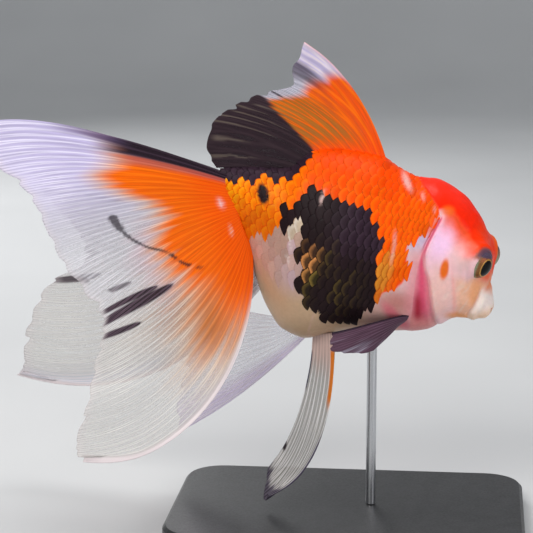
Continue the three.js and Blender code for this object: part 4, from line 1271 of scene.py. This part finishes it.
def make_eye(side, name):
    turns = np.linspace(0, math.pi, EYE_TURNS + 1)[1:-1]
    spins = 2 * math.pi * np.arange(EYE_SPINS) / EYE_SPINS
    turn, spin = np.meshgrid(turns, spins, indexing="ij")
    middle, looks = eye_middle(side), eye_looks(side)
    top = unit(np.array([0, 0, 1.0]) - looks[2] * looks)
    across = np.cross(looks, top)
    radius = EYE["radius"] * (1 - (1 - PUPIL_LEVEL) * step(36, 31, np.degrees(turn)))
    way = (np.cos(turn)[..., None] * looks
           + np.sin(turn)[..., None] * (np.cos(spin)[..., None] * top + np.sin(spin)[..., None] * across))
    poles = [middle + looks * EYE["radius"] * PUPIL_LEVEL, middle - looks * EYE["radius"]]
    points, faces = capped(middle + way * radius[..., None], poles)
    coat = eye_colours(turn.ravel(), spin.ravel(), way[..., 2].ravel())
    uv = 0.5 + (turn / math.pi * 0.48 * np.stack([np.cos(spin), np.sin(spin)])).reshape(2, -1).T
    new_piece(name, placed(points), faces, materials["eye"], (name,),
              {key: with_ends(coat[key]) for key in ("tint", "shine")},
              np.concatenate([uv, [[0.5, 0.5], [0.98, 0.5]]]))


# ---------------------------------------------------------------- stand, room, light and camera

CAMERA_AT = Vector((0.0363, -0.5858, 0.1945))
CAMERA_LOOKS_AT = Vector((-0.0253, 0.0, 0.080))
CAMERA_LENS, CAMERA_SENSOR = 133.5, 36
LIGHTS_AIM = Vector((0, 0, 0.08))
FLOOR_FRONT, FLOOR_BACK, FLOOR_HALF, FLOOR_CURVE, WALL_TOP = -1.6, 1.1, 2.4, 0.5, 2.6


def dress_stand():
    for name, material in (("stand_base", stand_material()), ("stand_rod", rod_material())):
        for candidate in bpy.data.objects:
            if candidate.type == "MESH" and candidate.name == name:
                candidate.data.materials.clear()
                candidate.data.materials.append(material)


def in_scene(name, data):
    piece = bpy.data.objects.new(name, data)
    bpy.context.scene.collection.objects.link(piece)
    return piece


def facing(place, target):
    return (target - place).to_track_quat("-Z", "Y").to_euler()


def make_room():
    """A pale floor that rises behind the object."""
    curve = [(FLOOR_BACK + FLOOR_CURVE * math.sin(a), FLOOR_CURVE * (1 - math.cos(a)))
             for a in np.linspace(0, math.pi / 2, 13)]
    profile = [(FLOOR_FRONT, 0.0), *curve, (FLOOR_BACK + FLOOR_CURVE, WALL_TOP)]
    points = [(x, y, z) for y, z in profile for x in (-FLOOR_HALF, FLOOR_HALF)]
    floor = bpy.data.meshes.new("floor")
    floor.from_pydata(points, [], [(2 * i, 2 * i + 1, 2 * i + 3, 2 * i + 2) for i in range(len(profile) - 1)])
    floor.polygons.foreach_set("use_smooth", [True] * len(floor.polygons))
    floor.materials.append(floor_material())
    in_scene("floor", floor)


def make_light(name, place, size, power, tint):
    lamp = bpy.data.lights.new(name, "AREA")
    lamp.shape = "DISK"
    lamp.size, lamp.energy, lamp.color = size, power, tint
    piece = in_scene(name, lamp)
    piece.location = place
    piece.rotation_euler = facing(Vector(place), LIGHTS_AIM)


def light_room():
    make_light("key", (-0.35, -0.75, 0.75), 0.5, 5.7, (1.0, 0.97, 0.93))
    make_light("top", (0.05, 0.05, 0.95), 0.5, 3.6, (1.0, 0.99, 0.97))
    make_light("fill", (0.8, -0.5, 0.3), 0.7, 2.0, (0.98, 0.97, 1.0))
    make_light("rim", (-0.4, 0.7, 0.5), 0.5, 3.0, (1.0, 1.0, 1.0))
    world = bpy.data.worlds.new("soft")
    bpy.context.scene.world = world
    world.use_nodes = True
    backdrop = world.node_tree.nodes["Background"].inputs
    backdrop["Color"].default_value = (0.86, 0.9, 0.95, 1)
    backdrop["Strength"].default_value = 0.3
    bpy.context.scene.view_settings.view_transform = "Standard"


def make_camera():
    lens = bpy.data.cameras.new("camera")
    lens.lens, lens.sensor_width = CAMERA_LENS, CAMERA_SENSOR
    lens.clip_start, lens.clip_end = 0.01, 20
    camera = in_scene("camera", lens)
    camera.location = CAMERA_AT
    camera.rotation_euler = facing(CAMERA_AT, CAMERA_LOOKS_AT)
    bpy.context.scene.camera = camera


# ---------------------------------------------------------------- the model

make_camera()
make_room()
light_room()
materials = {"scales": scale_material(), "fins": fin_material(), "eye": eye_material()}
make_skin()
for where, side in (("right", RIGHT), ("left", LEFT)):
    make_scales(side, "scales_" + where)
    make_eye(side, "eye_" + where)
    make_fin("pectoral_fin_" + where, PECTORAL, side, 9, pectoral_markings, 0.03, 0.15)
    make_fin("anal_fin_" + where, ANAL, side, 6, anal_markings, 0.03, 0.15)
make_fin("tail_fin_right", TAIL_RIGHT, RIGHT, 34, tail_markings(RIGHT))
make_fin("tail_fin_left", TAIL_LEFT, LEFT, 34, tail_markings(LEFT))
make_fin("dorsal_fin", DORSAL, LEFT, 13, dorsal_markings, 0.035, 0.3, 9)
make_fin("pelvic_fin_right", PELVIC_RIGHT, RIGHT, 7, pelvic_markings, 0.03, 0.3)
make_fin("pelvic_fin_left", PELVIC_LEFT, LEFT, 12, far_pelvic_markings, 0.03, 0.3)
dress_stand()
